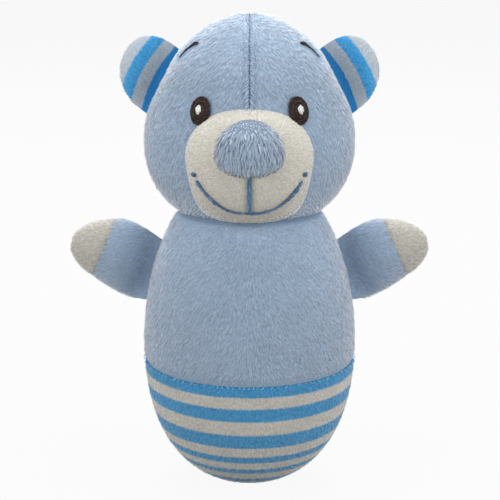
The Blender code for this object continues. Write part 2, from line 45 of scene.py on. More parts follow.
# Table top, light and camera. The bear stands on a plain pale sheet, between two soft lamps in front of it,
# with others over, behind and beside it, and is seen from a little above its head.
def tone(red, green, blue):
    """A colour in linear light, from its 0 to 255 values on a screen."""
    return tuple((value / 255.0) ** 2.2 for value in (red, green, blue))


def add_node(tree, kind, feeds=(), **settings):
    """A shader node with its settings, and sockets that hold values or are fed by other nodes."""
    made = tree.nodes.new("ShaderNode" + kind)
    for name, value in settings.items():
        setattr(made, name, value)
    for name, value in dict(feeds).items():
        if isinstance(value, bpy.types.NodeSocket):
            tree.links.new(value, made.inputs[name])
        else:
            made.inputs[name].default_value = value
    return made


def seen_plainly(tree):
    """1 for rays from the camera, a mirror or glass, which see the plain background."""
    path = add_node(tree, "LightPath").outputs
    either = add_node(tree, "Math", {0: path["Is Camera Ray"], 1: path["Is Glossy Ray"]}, operation="MAXIMUM")
    every = {0: either.outputs[0], 1: path["Is Transmission Ray"]}
    return add_node(tree, "Math", every, operation="MAXIMUM").outputs[0]


bpy.ops.mesh.primitive_plane_add(size=8.0)
table_top = bpy.context.object
table_top.name = "table_top"
pale_sheet = bpy.data.materials.new("pale_sheet")
pale_sheet.use_nodes = True
tree = pale_sheet.node_tree
tree.nodes.clear()
matt = add_node(tree, "BsdfDiffuse", {"Color": (0.40, 0.40, 0.40, 1.0)}).outputs[0]
lit_white = add_node(tree, "Emission", {"Color": (1.0, 1.0, 1.0, 1.0), "Strength": 1.0}).outputs[0]
shadow_kept = add_node(tree, "MixShader", {0: 0.93, 1: matt, 2: lit_white}).outputs[0]
sheet_mix = add_node(tree, "MixShader", {0: seen_plainly(tree), 1: matt, 2: shadow_kept}).outputs[0]
add_node(tree, "OutputMaterial", {"Surface": sheet_mix})
table_top.data.materials.append(pale_sheet)

studio = bpy.data.worlds.new("studio")
scene.world = studio
studio.use_nodes = True
tree = studio.node_tree
tree.nodes.clear()
room_light = add_node(tree, "Background", {"Color": (1.0, 1.0, 1.0, 1.0), "Strength": 0.15}).outputs[0]
room_white = add_node(tree, "Background", {"Color": (1.0, 1.0, 1.0, 1.0), "Strength": 1.0}).outputs[0]
room_mix = add_node(tree, "MixShader", {0: seen_plainly(tree), 1: room_light, 2: room_white}).outputs[0]
add_node(tree, "OutputWorld", {"Surface": room_mix})

for lamp_name, lamp_place, lamp_size, lamp_power in (
    ("soft_box", (0.03, -0.08, 1.10), 1.0, 7.5),
    ("left_front", (0.95, -0.80, 0.30), 0.8, 9.5),
    ("right_front", (-0.95, -0.80, 0.30), 0.8, 9.3),
    ("left_fill", (1.00, 0.10, 0.42), 0.8, 2.7),
    ("right_fill", (-1.00, 0.10, 0.42), 0.8, 2.5),
    ("back_fill", (0.0, 0.75, 0.95), 0.8, 12.0),
):
    bpy.ops.object.light_add(type="AREA", location=lamp_place)
    lamp = bpy.context.object
    lamp.name = lamp_name
    lamp.data.shape = "DISK"
    lamp.data.size = lamp_size
    lamp.data.energy = lamp_power
    lamp.rotation_euler = (Vector((0.0, 0.0, 0.09)) - lamp.location).to_track_quat("-Z", "Y").to_euler()

bpy.ops.object.camera_add(location=(0.0, -0.600, 0.235))
camera = bpy.context.object
camera.rotation_euler = (Vector((0.0, 0.0, 0.090375)) - camera.location).to_track_quat("-Z", "Y").to_euler()
camera.data.lens = 117.1
camera.data.sensor_width = 36.0
camera.data.shift_x = 0.001
scene.camera = camera


# Egg body: one bag of velour, cut and sewn from a plain upper part and a striped base, stuffed tight, and
# gathered at the neck over a round shoulder. It rests on a small flat, where no pile stands.
PILE_SINK = 0.0002
STUFFING_PRESSURE, STUFFING_FRAMES = 4.0, 20
EGG_RADIUS, EGG_MID, EGG_RISE, EGG_DROP = 0.0404, 0.0550, 0.0685, 0.0555
EGG_FULL_ABOVE, EGG_FULL_BELOW = 2.0, 2.3
STRIPE_SEAM, NECK_HEIGHT, NECK_PIVOT, SHOULDER_BALL = 0.0487, 0.1058, 0.0840, 0.03285
NECK_RADIUS, CREASE_SHARE, CREASE_HALF = 0.0244, 0.0170, 0.0013
EGG_STEPS, SHOULDER_STEPS = 46, 10


def bent(value, fullness):
    """A sine or cosine bent towards a fuller or leaner curve, with its sign kept."""
    return math.copysign(abs(value) ** (2.0 / fullness), value)


def points_of(form):
    """A form's points as rows of numbers."""
    flat = np.empty(len(form.data.vertices) * 3)
    form.data.vertices.foreach_get("co", flat)
    return flat.reshape(-1, 3)


def put_points(form, rows):
    """Move a form's points to these rows of numbers."""
    form.data.vertices.foreach_set("co", np.ascontiguousarray(rows, dtype=np.float32).ravel())
    form.data.update()


def take(form):
    """Make a form the only one selected."""
    bpy.ops.object.select_all(action="DESELECT")
    form.select_set(True)
    bpy.context.view_layer.objects.active = form


def work_on(form, operator, **settings):
    """Use a mesh operator on the whole of a form."""
    take(form)
    bpy.ops.object.mode_set(mode="EDIT")
    bpy.ops.mesh.select_all(action="SELECT")
    operator(**settings)
    bpy.ops.object.mode_set(mode="OBJECT")


def settled(form):
    """A form with its points and faces listed in one order, however an operator left them, so runs repeat."""
    rows = points_of(form)
    order = np.lexsort(rows.T)
    listed = np.argsort(order)
    faces = []
    for face in form.data.polygons:
        ring = [int(listed[index]) for index in face.vertices]
        first = ring.index(min(ring))
        faces.append(ring[first:] + ring[:first])
    form.data.clear_geometry()
    form.data.from_pydata(rows[order].tolist(), [], sorted(faces), shade_flat=False)
    form.data.update(calc_edges=True)
    return form


def moved_ball(name, place, segments, rings):
    """A ball with each of its points moved to its place on a form."""
    bpy.ops.mesh.primitive_uv_sphere_add(segments=segments, ring_count=rings, radius=1.0)
    form = bpy.context.object
    form.name = name
    form.data.name = name
    for vert in form.data.vertices:
        vert.co = place(*vert.co)
    work_on(form, bpy.ops.mesh.normals_make_consistent, inside=False)
    return settled(form)


def finer(form):
    """Halve a form's faces once, rounding it."""
    take(form)
    rounding = form.modifiers.new("rounding", "SUBSURF")
    rounding.levels = 1
    rounding.render_levels = 1
    bpy.ops.object.modifier_apply(modifier="rounding")
    return form


def stuff(form, held, most):
    """Swell a cover as its filling does: cloth under pressure, held at its seams, moved this far at most."""
    take(form)
    before = points_of(form)
    seams = form.vertex_groups.new(name="seams")
    seams.add([int(index) for index in np.nonzero(held(before))[0]], 1.0, "REPLACE")
    bag = form.modifiers.new("stuffing", "CLOTH")
    for name, value in (("quality", 6), ("mass", 0.0006), ("tension_stiffness", 9.0),
                        ("compression_stiffness", 9.0), ("shear_stiffness", 4.0), ("bending_stiffness", 0.05),
                        ("vertex_group_mass", "seams"), ("use_pressure", True),
                        ("uniform_pressure_force", STUFFING_PRESSURE)):
        setattr(bag.settings, name, value)
    bag.settings.effector_weights.gravity = 0.0
    bag.collision_settings.use_collision = False
    bag.point_cache.frame_start = 1
    bag.point_cache.frame_end = STUFFING_FRAMES
    for moment in range(1, STUFFING_FRAMES + 1):
        scene.frame_set(moment)
    bpy.ops.object.modifier_apply(modifier="stuffing")
    scene.frame_set(1)
    form.vertex_groups.clear()
    moves = points_of(form) - before
    reach = np.linalg.norm(moves, axis=1, keepdims=True)
    put_points(form, before + moves * np.minimum(1.0, most / np.maximum(reach, 1e-9)))
    return form


def cover(name, place, segments, rings, held, most):
    """A stuffed cover: a ball moved to its places, rounded and swelled."""
    return stuff(finer(moved_ball(name, place, segments, rings)), held, most)


def round_at(radius, turn, height):
    """A point at a turn round the upright line."""
    return radius * math.cos(turn), radius * math.sin(turn), height


def egg_point(bearing):
    """Radius and height on the egg's cloth at a bearing up or down from its widest line."""
    reach, fullness = (EGG_RISE, EGG_FULL_ABOVE) if bearing >= 0.0 else (EGG_DROP, EGG_FULL_BELOW)
    height = EGG_MID + (reach - PILE_SINK) * bent(math.sin(bearing), fullness)
    return (EGG_RADIUS - PILE_SINK) * bent(math.cos(bearing), fullness), height


neck_bearing = math.asin((NECK_HEIGHT - EGG_MID) / (EGG_RISE - PILE_SINK))
egg_outline = [egg_point(-math.pi / 2.0 + (neck_bearing + math.pi / 2.0) * step / EGG_STEPS)
               for step in range(EGG_STEPS + 1)]
egg_outline[0] = (0.0, egg_outline[1][1])
brim = math.atan2(NECK_HEIGHT - NECK_PIVOT, NECK_RADIUS)
for step in range(SHOULDER_STEPS + 1):
    rise = brim + (math.pi / 2.0 - brim) * step / SHOULDER_STEPS
    egg_outline.append((SHOULDER_BALL * math.cos(rise), NECK_PIVOT + SHOULDER_BALL * math.sin(rise)))
egg_outline[-1] = (0.0, egg_outline[-1][1])
RINGS = len(egg_outline) - 1


def egg_place(x, y, z):
    """Place on the egg's outline, from the bottom of the ball to its top."""
    radius, height = egg_outline[round((0.5 + math.asin(max(-1.0, min(1.0, z))) / math.pi) * RINGS)]
    return round_at(radius, math.atan2(y, x), height)


def egg_held(rows):
    """The egg's cloth is held at the stripe seam, the neck and where it stands."""
    height = rows[:, 2]
    return (abs(height - STRIPE_SEAM) < 0.0016) | (height > NECK_HEIGHT - 0.002) | (height < 0.0020)


def part_of(form, name, place, outward):
    """A copy of a form cut off square along a seam, with the end closed."""
    take(form)
    bpy.ops.object.duplicate()
    made = bpy.context.object
    made.name = name
    made.data.name = name
    work_on(made, bpy.ops.mesh.bisect, plane_co=place, plane_no=outward, use_fill=True, clear_outer=True)
    return settled(made)


egg = cover("egg", egg_place, 60, RINGS, egg_held, 0.0009)
egg_rows = points_of(egg)
crease = 1.0 - CREASE_SHARE * np.exp(-((egg_rows[:, 2] - STRIPE_SEAM) / CREASE_HALF) ** 2)
egg_rows[:, :2] *= crease[:, None]
egg_rows[:, 2] = np.maximum(egg_rows[:, 2], 0.0)
put_points(egg, egg_rows)
base_cloth = part_of(egg, "base_cloth", (0.0, 0.0, STRIPE_SEAM), (0.0, 0.0, 1.0))
body_cloth = part_of(egg, "body_cloth", (0.0, 0.0, STRIPE_SEAM), (0.0, 0.0, -1.0))
bpy.data.objects.remove(egg)


def plain_maker(name):
    """A new material's node tree, with a matt fabric shader on it, and that shader."""
    made = bpy.data.materials.new(name)
    made.use_nodes = True
    shader = made.node_tree.nodes["Principled BSDF"]
    shader.inputs["Roughness"].default_value = 0.92
    shader.inputs["Specular IOR Level"].default_value = 0.18
    return made, made.node_tree, shader


def add_ramp(tree, factor, stops):
    """A colour ramp over (place, colour) stops."""
    made = add_node(tree, "ValToRGB", {"Fac": factor})
    line = made.color_ramp
    line.elements[0].position, line.elements[0].color = stops[0][0], (*stops[0][1], 1.0)
    line.elements[1].position, line.elements[1].color = stops[-1][0], (*stops[-1][1], 1.0)
    for place, colour in stops[1:-1]:
        line.elements.new(place).color = (*colour, 1.0)
    return made.outputs["Color"]


def greys(tree, factor, *stops):
    """A ramp of plain light and dark over (place, level) stops."""
    return add_ramp(tree, factor, [(place, (level,) * 3) for place, level in stops])


def times(tree, first, second):
    """Two colours multiplied."""
    feeds = {0: 1.0, 6: first, 7: second}
    return add_node(tree, "Mix", feeds, data_type="RGBA", blend_type="MULTIPLY").outputs[2]


def noise(tree, place, scale, detail, roughness=0.5):
    """Cloudy noise from 0 to 1."""
    feeds = {"Vector": place, "Scale": scale, "Detail": detail, "Roughness": roughness}
    return add_node(tree, "TexNoise", feeds).outputs["Fac"]


def add_bump(tree, shader, height, strength, distance):
    """A surface that stands up where a height does."""
    bump = add_node(tree, "Bump", {"Strength": strength, "Distance": distance, "Height": height})
    tree.links.new(bump.outputs[0], shader.inputs["Normal"])


def shade(colour, level):
    """A colour made darker or lighter."""
    return tuple(min(1.0, channel * level) for channel in colour)


def plain(colour):
    """One band of a colour all over."""
    return [(0.0, colour), (0.1, colour)]


BAND_BLUR, BAND_FRAY = 0.0003, 0.0004


def banded(tree, place, bands, start, along, bow):
    """Colour that changes over where each band of it begins, in metres along a way from a start, or bowed."""
    off = add_node(tree, "VectorMath", {0: place, 1: start}, operation="SUBTRACT").outputs[0]
    reach = add_node(tree, "VectorMath", {0: off, 1: along}, operation="DOT_PRODUCT").outputs["Value"]
    across = {0: off, 1: (-along[2], along[1], along[0])}
    aside = add_node(tree, "VectorMath", across, operation="DOT_PRODUCT").outputs["Value"]
    curve = add_node(tree, "Math", {0: aside, 1: aside}, operation="MULTIPLY").outputs[0]
    bowed = add_node(tree, "Math", {0: curve, 1: bow, 2: reach}, operation="MULTIPLY_ADD").outputs[0]
    fray = {"Value": noise(tree, place, 900.0, 2.0), 3: -BAND_FRAY, 4: BAND_FRAY}
    frayed = add_node(tree, "Math", {0: bowed, 1: add_node(tree, "MapRange", fray).outputs[0]}).outputs[0]
    whole = 2.0 * bands[-1][0]
    share = add_node(tree, "MapRange", {"Value": frayed, 1: 0.0, 2: whole}).outputs[0]
    stops = [(0.0, bands[0][1])]
    for (edge, colour), (_, before) in zip(bands[1:], bands):
        stops += [((edge - BAND_BLUR) / whole, before), ((edge + BAND_BLUR) / whole, colour)]
    return add_ramp(tree, share, stops)


# Painted light and shade: a cover's colour is made lighter or darker by height, or by distance to either
# side, where light or shade falls on it.
PAINTED_LIGHT_SPAN = 0.18
EVEN = ((0.0, 1.0), (PAINTED_LIGHT_SPAN, 1.0))


def painted_light_ramp(tree, place, fade, fade_way):
    """Painted light and shade on a cloth: lighter or darker over heights, or over distances to either side.
    """
    spot = add_node(tree, "SeparateXYZ", {0: place}).outputs[fade_way]
    apart = add_node(tree, "Math", {0: spot}, operation="ABSOLUTE").outputs[0]
    share = add_node(tree, "MapRange", {"Value": apart, 1: 0.0, 2: PAINTED_LIGHT_SPAN}).outputs[0]
    return greys(tree, share, *((level / PAINTED_LIGHT_SPAN, light) for level, light in fade))


def colour_cloth(tree, shader, place, light, bands, fade=EVEN, fade_way="Z", start=(0.0, 0.0, 0.0),
                 along=(0.0, 0.0, 1.0), bow=0.0):
    """Colour a cloth in its bands, under its own light and dark, and with its painted light and shade."""
    lit = times(tree, light, painted_light_ramp(tree, place, fade, fade_way))
    dyed = banded(tree, place, bands, start, along, bow)
    tree.links.new(times(tree, dyed, lit), shader.inputs["Base Color"])


def backing(name, bands, **lay):
    """Knitted backing of the velour, seen only where the pile parts: darker than it, with rows of loops."""
    made, tree, shader = plain_maker(name)
    place = add_node(tree, "TexCoord").outputs["Object"]
    loops = noise(tree, place, 1900.0, 2.0)
    patches = greys(tree, noise(tree, place, 120.0, 3.0), (0.3, 0.92), (0.7, 1.0))
    rows = greys(tree, loops, (0.25, 0.70), (0.75, 0.96))
    colour_cloth(tree, shader, place, times(tree, rows, patches), bands, **lay)
    add_bump(tree, shader, loops, 0.5, 0.0003)
    return made


def velour(name, bands, depth=0.16, sheen=1.0, **lay):
    """Brushed pile: each lock has painted shade at its root and a painted highlight at its tip, is a little
    off the next in tint, and lies in patches.

    The attribute nap gives a lock's place between dark and light: its own tint, with the painted shade and
    highlight."""
    made, tree, shader = plain_maker(name)
    nap = add_node(tree, "Attribute", attribute_name="nap").outputs["Fac"]
    place = add_node(tree, "TexCoord").outputs["Object"]
    patches = greys(tree, noise(tree, place, 95.0, 4.0, 0.6), (0.30, 0.93), (0.70, 1.06))
    # Painted shade at each lock's root, as deep as depth, and a painted highlight at its tip.
    lock = greys(tree, nap, (0.0, 1.0 - depth), (0.55, 0.98), (1.0, 1.12))
    colour_cloth(tree, shader, place, times(tree, patches, lock), bands, **lay)
    shader.inputs["Sheen Weight"].default_value = sheen
    shader.inputs["Sheen Roughness"].default_value = 0.62
    return made


def finishes(name, bands, depth=0.16, sheen=1.0, **lay):
    """Finishes for a cover's backing and for its pile."""
    return backing(name + "_backing", bands, **lay), velour(name + "_velour", bands, depth, sheen, **lay)


def unit(rows):
    """Rows of directions, each made one long."""
    return rows / np.maximum(np.linalg.norm(rows, axis=1, keepdims=True), 1e-9)


COUNT_STEP, LOCK_ROWS, ROOT_SINK, TABLE_GAP = 16, 0.0015, 0.00015, 0.0002


def plant(name, cloth, brush, each_mm2, long, wide, seed, lean=11.0, stray=0.18, wisp=2, draw=0.5):
    """Locks of pile standing on a cloth: each a slim ridged sliver that leans the way it is brushed.

    brush takes points and outward directions and gives the way each lock lies and its share of the full
    length: a share of 0 plants nothing there. About wisp locks cling together, their tips drawn towards one
    another by a share. Each lock draws its own chances before the bare ones go, so that a hair's difference
    in the cloth leaves the other locks as they are."""
    chance = np.random.default_rng(seed)
    cloth.data.calc_loop_triangles()
    corners = np.empty(len(cloth.data.loop_triangles) * 3, dtype=np.int32)
    cloth.data.loop_triangles.foreach_get("vertices", corners)
    corners = corners.reshape(-1, 3)
    rows = points_of(cloth)
    outs = np.empty(len(rows) * 3)
    cloth.data.vertex_normals.foreach_get("vector", outs)
    outs = outs.reshape(-1, 3)
    first, second, third = (rows[corners[:, index]] for index in range(3))
    areas = 0.5 * np.linalg.norm(np.cross(second - first, third - first), axis=1)
    count = COUNT_STEP * round(areas.sum() * 1e6 * each_mm2 / COUNT_STEP)
    picked = chance.choice(len(areas), size=count, p=areas / areas.sum())
    across, along = chance.random(count), chance.random(count)
    folded = across + along > 1.0
    across[folded], along[folded] = 1.0 - across[folded], 1.0 - along[folded]
    weights = np.stack([1.0 - across - along, across, along], axis=1)[:, :, None]
    roots = (rows[corners[picked]] * weights).sum(axis=1)
    out = unit((outs[corners[picked]] * weights).sum(axis=1))
    way, share = brush(roots, out)
    way = np.broadcast_to(way, roots.shape)
    turn = chance.normal(0.0, stray, count)
    rise = np.radians(np.clip(chance.normal(lean, 5.0, count), 4.0, 60.0))
    size, half = chance.uniform(0.65, 1.15, count), wide * 0.5 * chance.uniform(0.75, 1.2, count)
    leads = chance.random(count)
    tints, own_tints = chance.normal(0.60, 0.12, count), chance.normal(0.0, 0.07, count)
    grown = np.nonzero(share > 0.05)[0]
    order = grown[np.lexsort((roots[grown, 0], np.round(roots[grown, 2] / LOCK_ROWS)))]
    roots, out, way = roots[order], out[order], way[order]
    share, turn, rise, size, half = (drawn[order][:, None] for drawn in (share, turn, rise, size, half))
    leads, tints, own_tints = leads[order], tints[order], own_tints[order]
    count = len(roots)
    lie = unit(way - out * (way * out).sum(axis=1, keepdims=True))
    side = np.cross(out, lie)
    lie = lie * np.cos(turn) + side * np.sin(turn)
    side = np.cross(out, lie)
    size, half = size * share, half * np.sqrt(np.minimum(1.0, share))
    seat = roots - out * ROOT_SINK
    tip = seat + size * long * (lie * np.cos(rise) + out * np.sin(rise))
    leaders = np.nonzero(leads < 1.0 / wisp)[0]
    finder = kdtree.KDTree(len(leaders))
    for index, leader in enumerate(leaders):
        finder.insert(roots[leader], index)
    finder.balance()
    mine = np.array([finder.find(row)[1] for row in roots])
    leader = leaders[mine]
    tip += (tip[leader] - tip) * draw
    aside = (roots - roots[leader]) / (math.sqrt(wisp / each_mm2) * 0.001)
    off = np.minimum(1.0, np.linalg.norm(aside, axis=1) * 1.6)
    tip[:, 2] = np.maximum(tip[:, 2], TABLE_GAP)
    locks = np.stack([seat - side * half, seat + side * half, seat + out * half * 0.8, tip], axis=1)
    locks[:, :, 2] = np.maximum(locks[:, :, 2], TABLE_GAP)
    firsts = (np.arange(count) * 4)[:, None, None]
    faces = (firsts + np.array([[0, 3, 2], [1, 2, 3], [0, 1, 3], [0, 2, 1]])).reshape(-1, 3)
    mesh = bpy.data.meshes.new(name)
    mesh.vertices.add(count * 4)
    mesh.vertices.foreach_set("co", locks.astype(np.float32).ravel())
    mesh.loops.add(len(faces) * 3)
    mesh.loops.foreach_set("vertex_index", faces.astype(np.int32).ravel())
    mesh.polygons.add(len(faces))
    mesh.polygons.foreach_set("loop_start", np.arange(len(faces), dtype=np.int32) * 3)
    mesh.update(calc_edges=True)
    # Each lock's own tint, with painted shade at its root, deeper in the gaps away from its wisp's middle,
    # and a painted highlight at its tip.
    tint = np.clip(tints[leader] + own_tints, 0.1, 1.0)
    low = tint - 0.20 - 0.25 * off
    nap = np.stack([low, low, low + 0.12, tint + 0.16], axis=1).clip(0.0, 1.0).astype(np.float32)
    mesh.attributes.new("nap", "FLOAT", "POINT").data.foreach_set("value", nap.ravel())
    cells = math.ceil(math.sqrt(count))
    corner = np.stack([np.arange(count) % cells, np.arange(count) // cells], axis=1)
    shape = np.array([[0.1, 0.1], [0.9, 0.1], [0.5, 0.35], [0.5, 0.9]])
    spots = ((corner[:, None, :] + shape[None]) / cells).reshape(-1, 2)
    mesh.uv_layers.new(name="OFBake").data.foreach_set("uv", spots[faces.ravel()].astype(np.float32).ravel())
    round_up = out + aside * draw * 0.8
    lit = np.stack([unit(round_up - side * 0.3), unit(round_up + side * 0.3), unit(round_up),
                    unit(round_up + lie * 0.15)], axis=1)
    mesh.polygons.foreach_set("use_smooth", np.ones(len(faces), dtype=bool))
    mesh.normals_split_custom_set_from_vertices(lit.reshape(-1, 3).astype(np.float32))
    pile = bpy.data.objects.new(name, mesh)
    scene.collection.objects.link(pile)
    return pile


def dress(cloth, pile, looks, body, nodes):
    """Give a cover and its pile their finishes, and fix them to what carries them."""
    for piece, look in zip((cloth, pile), looks):
        piece.data.materials.clear()
        piece.data.materials.append(look)
        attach(piece, body)
    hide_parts(*nodes)


BLUE = tone(146, 167, 191)
# The blue painted darker, as shade in the nose's grooves and the neck's crease.
PAINTED_SHADE_BLUE = shade(BLUE, 0.8)
STRIPE_BLUE = tone(66, 140, 187)
STRIPE_WHITE = tone(190, 187, 179)
STRIPE_EDGES = (0.0, 0.0012, 0.0026, 0.0045, 0.0070, 0.0105, 0.0129, 0.0162, 0.0192, 0.0233, 0.0291, 0.0348,
                0.0400, 0.0446)
base_bands = [(edge, (STRIPE_WHITE, STRIPE_BLUE)[index % 2]) for index, edge in enumerate(STRIPE_EDGES)]
# Painted light and shade on the body: darker towards the base, and lighter up under the chin, where the
# head's shadow falls.
body_fade = ((0.050, 0.91), (0.072, 0.94), (0.090, 1.06), (0.098, 1.20), (0.105, 1.32))
body_looks = finishes("body", plain(BLUE), fade=body_fade)
striped_looks = finishes("striped", base_bands, sheen=0.4)


def down_and_out(rows):
    """The way the body's pile is brushed: down, and away from the middle of its front and back."""
    aside = np.tanh(rows[:, 0] / 0.007)
    return np.stack([0.55 * aside, np.zeros(len(rows)), -np.ones(len(rows))], axis=1)


def base_brush(rows, out):
    """The base is brushed down all over, bare where it stands, and thins out at its seam."""
    share = np.clip((STRIPE_SEAM - 0.0001 - rows[:, 2]) / 0.0010, 0.0, 1.0) * 0.35 + 0.65
    share[(rows[:, 2] > STRIPE_SEAM - 0.0003) | (abs(out[:, 2]) > 0.999) & (rows[:, 2] > 0.02)] = 0.0
    inside = np.hypot(rows[:, 0], rows[:, 1]) < 0.030
    share[inside & (rows[:, 2] > 0.040) | (rows[:, 2] < 0.0006)] = 0.0
    return down_and_out(rows), share


def body_brush(rows, out):
    """The upper body is brushed down and out, and its pile is shorter at its seams."""
    height = rows[:, 2]
    share = np.clip((NECK_HEIGHT - 0.0004 - height) / 0.002, 0.75, 1.0)
    share *= np.clip((height - STRIPE_SEAM) / 0.0040, 0.32, 1.0)
    share[(height > NECK_HEIGHT - 0.0006) | (height < STRIPE_SEAM + 0.0003)] = 0.0
    share[(np.hypot(rows[:, 0], rows[:, 1]) < 0.030) & (height < 0.060)] = 0.0
    return down_and_out(rows), share


base_pile = plant("base_pile", base_cloth, base_brush, 3.8, 0.0018, 0.00042, 11)
body_pile = plant("body_pile", body_cloth, body_brush, 3.6, 0.0025, 0.00042, 12)
dress(base_cloth, base_pile, striped_looks, "torso", ["base_cover"])
dress(body_cloth, body_pile, body_looks, "torso", ["body_cover"])


# Head: a ball of the same velour in two halves, sewn together up the middle of the face and over the crown,
# stuffed tight and gathered at the neck, where it is hollowed out over the shoulder and can turn and nod.
HEAD_WIDE, HEAD_DEEP, HEAD_MID, HEAD_RISE, HEAD_DROP = 0.0394, 0.0365, 0.1330, 0.0470, 0.0340
HEAD_FULL_ABOVE, HEAD_FULL_BELOW, SHOULDER_ROOM, BARE_NECK = 1.85, 2.2, 0.0348, 0.0350
MUZZLE_WIDE, MUZZLE_DEEP, MUZZLE_RISE, MUZZLE_DROP, MUZZLE_TAPER = 0.0233, 0.0200, 0.0203, 0.0210, 0.17
MUZZLE_FULL_ABOVE, MUZZLE_FULL_BELOW, MUZZLE_FULL_ROUND = 2.28, 4.4, 2.3
MUZZLE_MIDDLE = np.array([0.0, -0.0269, 0.1298])
EYE_OUT, EYE_HEIGHT = 0.0173, 0.1481
BROW_OUT, BROW_LONG, BROW_HEIGHT, BROW_FALL = 0.0185, 0.0069, 0.1700, 0.0055
EAR_ROOT, EAR_OUTWARD = (0.03356, 0.0040, 0.1550), (0.89425, 0.0, 0.44756)
SIDES = (("left", 1.0), ("right", -1.0))


def drawn_in(y, z):
    """How far the ears' seams draw the sides of the head in, about the middle of each seam."""
    return 0.0019 * np.exp(-((z - 0.1560) / 0.0085) ** 2 - ((y - 0.0020) / 0.0120) ** 2)


def head_place(sink):
    """Places on the head's ball, sunk under its surface."""
    def place(x, y, z):
        reach, fullness = (HEAD_RISE, HEAD_FULL_ABOVE) if z >= 0.0 else (HEAD_DROP, HEAD_FULL_BELOW)
        across = math.hypot(x, y)
        spread = bent(across, fullness) / across if across > 1e-6 else 0.0
        height = HEAD_MID + (reach - sink) * bent(z, fullness)
        deep = (HEAD_DEEP - sink) * y * spread
        return ((HEAD_WIDE - sink) * spread - drawn_in(deep, height)) * x, deep, height
    return place


def head_share(heights):
    """Share of the head's full width left at heights."""
    above = heights >= HEAD_MID
    fullness = np.where(above, HEAD_FULL_ABOVE, HEAD_FULL_BELOW)
    part = np.minimum(1.0, abs(heights - HEAD_MID) / np.where(above, HEAD_RISE, HEAD_DROP))
    return (1.0 - part ** fullness) ** (1.0 / fullness)


def in_head(rows, grown=0.0):
    """True for points inside the head's ball, or the ball grown a little."""
    across = abs(rows[:, 0]) + drawn_in(rows[:, 1], rows[:, 2]) * np.minimum(1.0, abs(rows[:, 0]) / 0.030)
    return np.hypot(across / (HEAD_WIDE + grown), rows[:, 1] / (HEAD_DEEP + grown)) < head_share(rows[:, 2])


def in_muzzle(rows, grown=0.0):
    """True for points inside the muzzle's bulge, or the bulge grown a little."""
    off = rows - MUZZLE_MIDDLE
    above = off[:, 2] >= 0.0
    fullness = np.where(above, MUZZLE_FULL_ABOVE, MUZZLE_FULL_BELOW)
    part = np.minimum(1.0, abs(off[:, 2]) / (np.where(above, MUZZLE_RISE, MUZZLE_DROP) + grown))
    girth = (1.0 - part ** fullness) ** (1.0 / fullness)
    wide = (MUZZLE_WIDE + grown) * (1.0 - np.where(above, 0.0, MUZZLE_TAPER * part))
    across, deep = abs(off[:, 0] / wide), abs(off[:, 1] / (MUZZLE_DEEP + grown))
    return across ** MUZZLE_FULL_ROUND + deep ** MUZZLE_FULL_ROUND < girth ** MUZZLE_FULL_ROUND


def head_held(rows):
    """The head's cloth is held at its middle seam, round the neck and behind the muzzle."""
    return (abs(rows[:, 0]) < 0.0005) | (rows[:, 2] < 0.1100) | in_muzzle(rows, -0.002)


def cut_away(form, tool):
    """Cut a form back to clear another, which is then thrown away."""
    take(form)
    clearing = form.modifiers.new("clearing", "BOOLEAN")
    clearing.operation = "DIFFERENCE"
    clearing.solver = "EXACT"
    clearing.object = tool
    bpy.ops.object.modifier_apply(modifier="clearing")
    bpy.data.objects.remove(tool)
    return settled(form)


def shoulder_room(x, y, z):
    """Ball about the neck's pivot that the head stays outside of."""
    return SHOULDER_ROOM * x, SHOULDER_ROOM * y, NECK_PIVOT + SHOULDER_ROOM * z


head_cloth = cover("head_cloth", head_place(PILE_SINK), 64, 40, head_held, 0.0009)
head_rows = points_of(head_cloth)
inward = unit(np.array([0.0, 0.0, HEAD_MID]) - head_rows)
head_rows += inward * (0.0006 * np.exp(-(head_rows[:, 0] / 0.0012) ** 2))[:, None]
put_points(head_cloth, head_rows)
cut_away(head_cloth, moved_ball("shoulder_room", shoulder_room, 64, 32))


def head_brush(rows, out):
    """The head is brushed from its middle seam outwards and down, and clipped close round what is sewn on."""
    aside = np.tanh(rows[:, 0] / 0.006)
    way = np.stack([0.65 * aside, 0.25 * np.sign(rows[:, 1]), -np.ones(len(rows))], axis=1)
    share = np.clip((rows[:, 2] - 0.1030) / 0.008, 0.50, 1.0)
    share[abs(rows[:, 0]) < 0.00035] = 0.0
    share[in_muzzle(rows, 0.0002)] = 0.0
    pivot_reach = np.linalg.norm(rows - np.array([0.0, 0.0, NECK_PIVOT]), axis=1)
    share[(pivot_reach < BARE_NECK) & (rows[:, 2] < 0.125)] = 0.0
    eye = np.hypot((abs(rows[:, 0]) - EYE_OUT) / 0.0036, (rows[:, 2] - EYE_HEIGHT) / 0.0048)
    front = rows[:, 1] < 0.0
    share[front & (eye < 0.95)] = 0.0
    share[front & (eye >= 0.95) & (eye < 1.5)] *= 0.55
    brow = (abs(rows[:, 0]) - BROW_OUT) / BROW_LONG
    brow_gap = abs(rows[:, 2] - (BROW_HEIGHT - BROW_FALL * np.clip(brow, 0.0, 1.0) ** 1.5))
    share[front & (brow > -0.12) & (brow < 1.1) & (brow_gap < 0.0011)] *= 0.28
    ear_level = (abs(rows[:, 0]) > 0.024) & (abs(rows[:, 2] - EAR_ROOT[2]) < 0.017)
    share[ear_level & (abs(rows[:, 1] - EAR_ROOT[1]) < 0.0016)] *= 0.4
    return way, share


# Painted light and shade on the head: darker towards the neck, where it is shaded, and lighter over the
# crown, where the top light falls.
head_fade = ((0.108, 0.86), (0.114, 0.92), (0.123, 1.03), (0.138, 1.08), (0.156, 0.96), (0.166, 1.13),
             (0.178, 1.34))
head_pile = plant("head_pile", head_cloth, head_brush, 3.0, 0.0025, 0.00042, 21)
head_looks = finishes("head", plain(BLUE), fade=head_fade)
dress(head_cloth, head_pile, head_looks, "head", ["head_cover"])


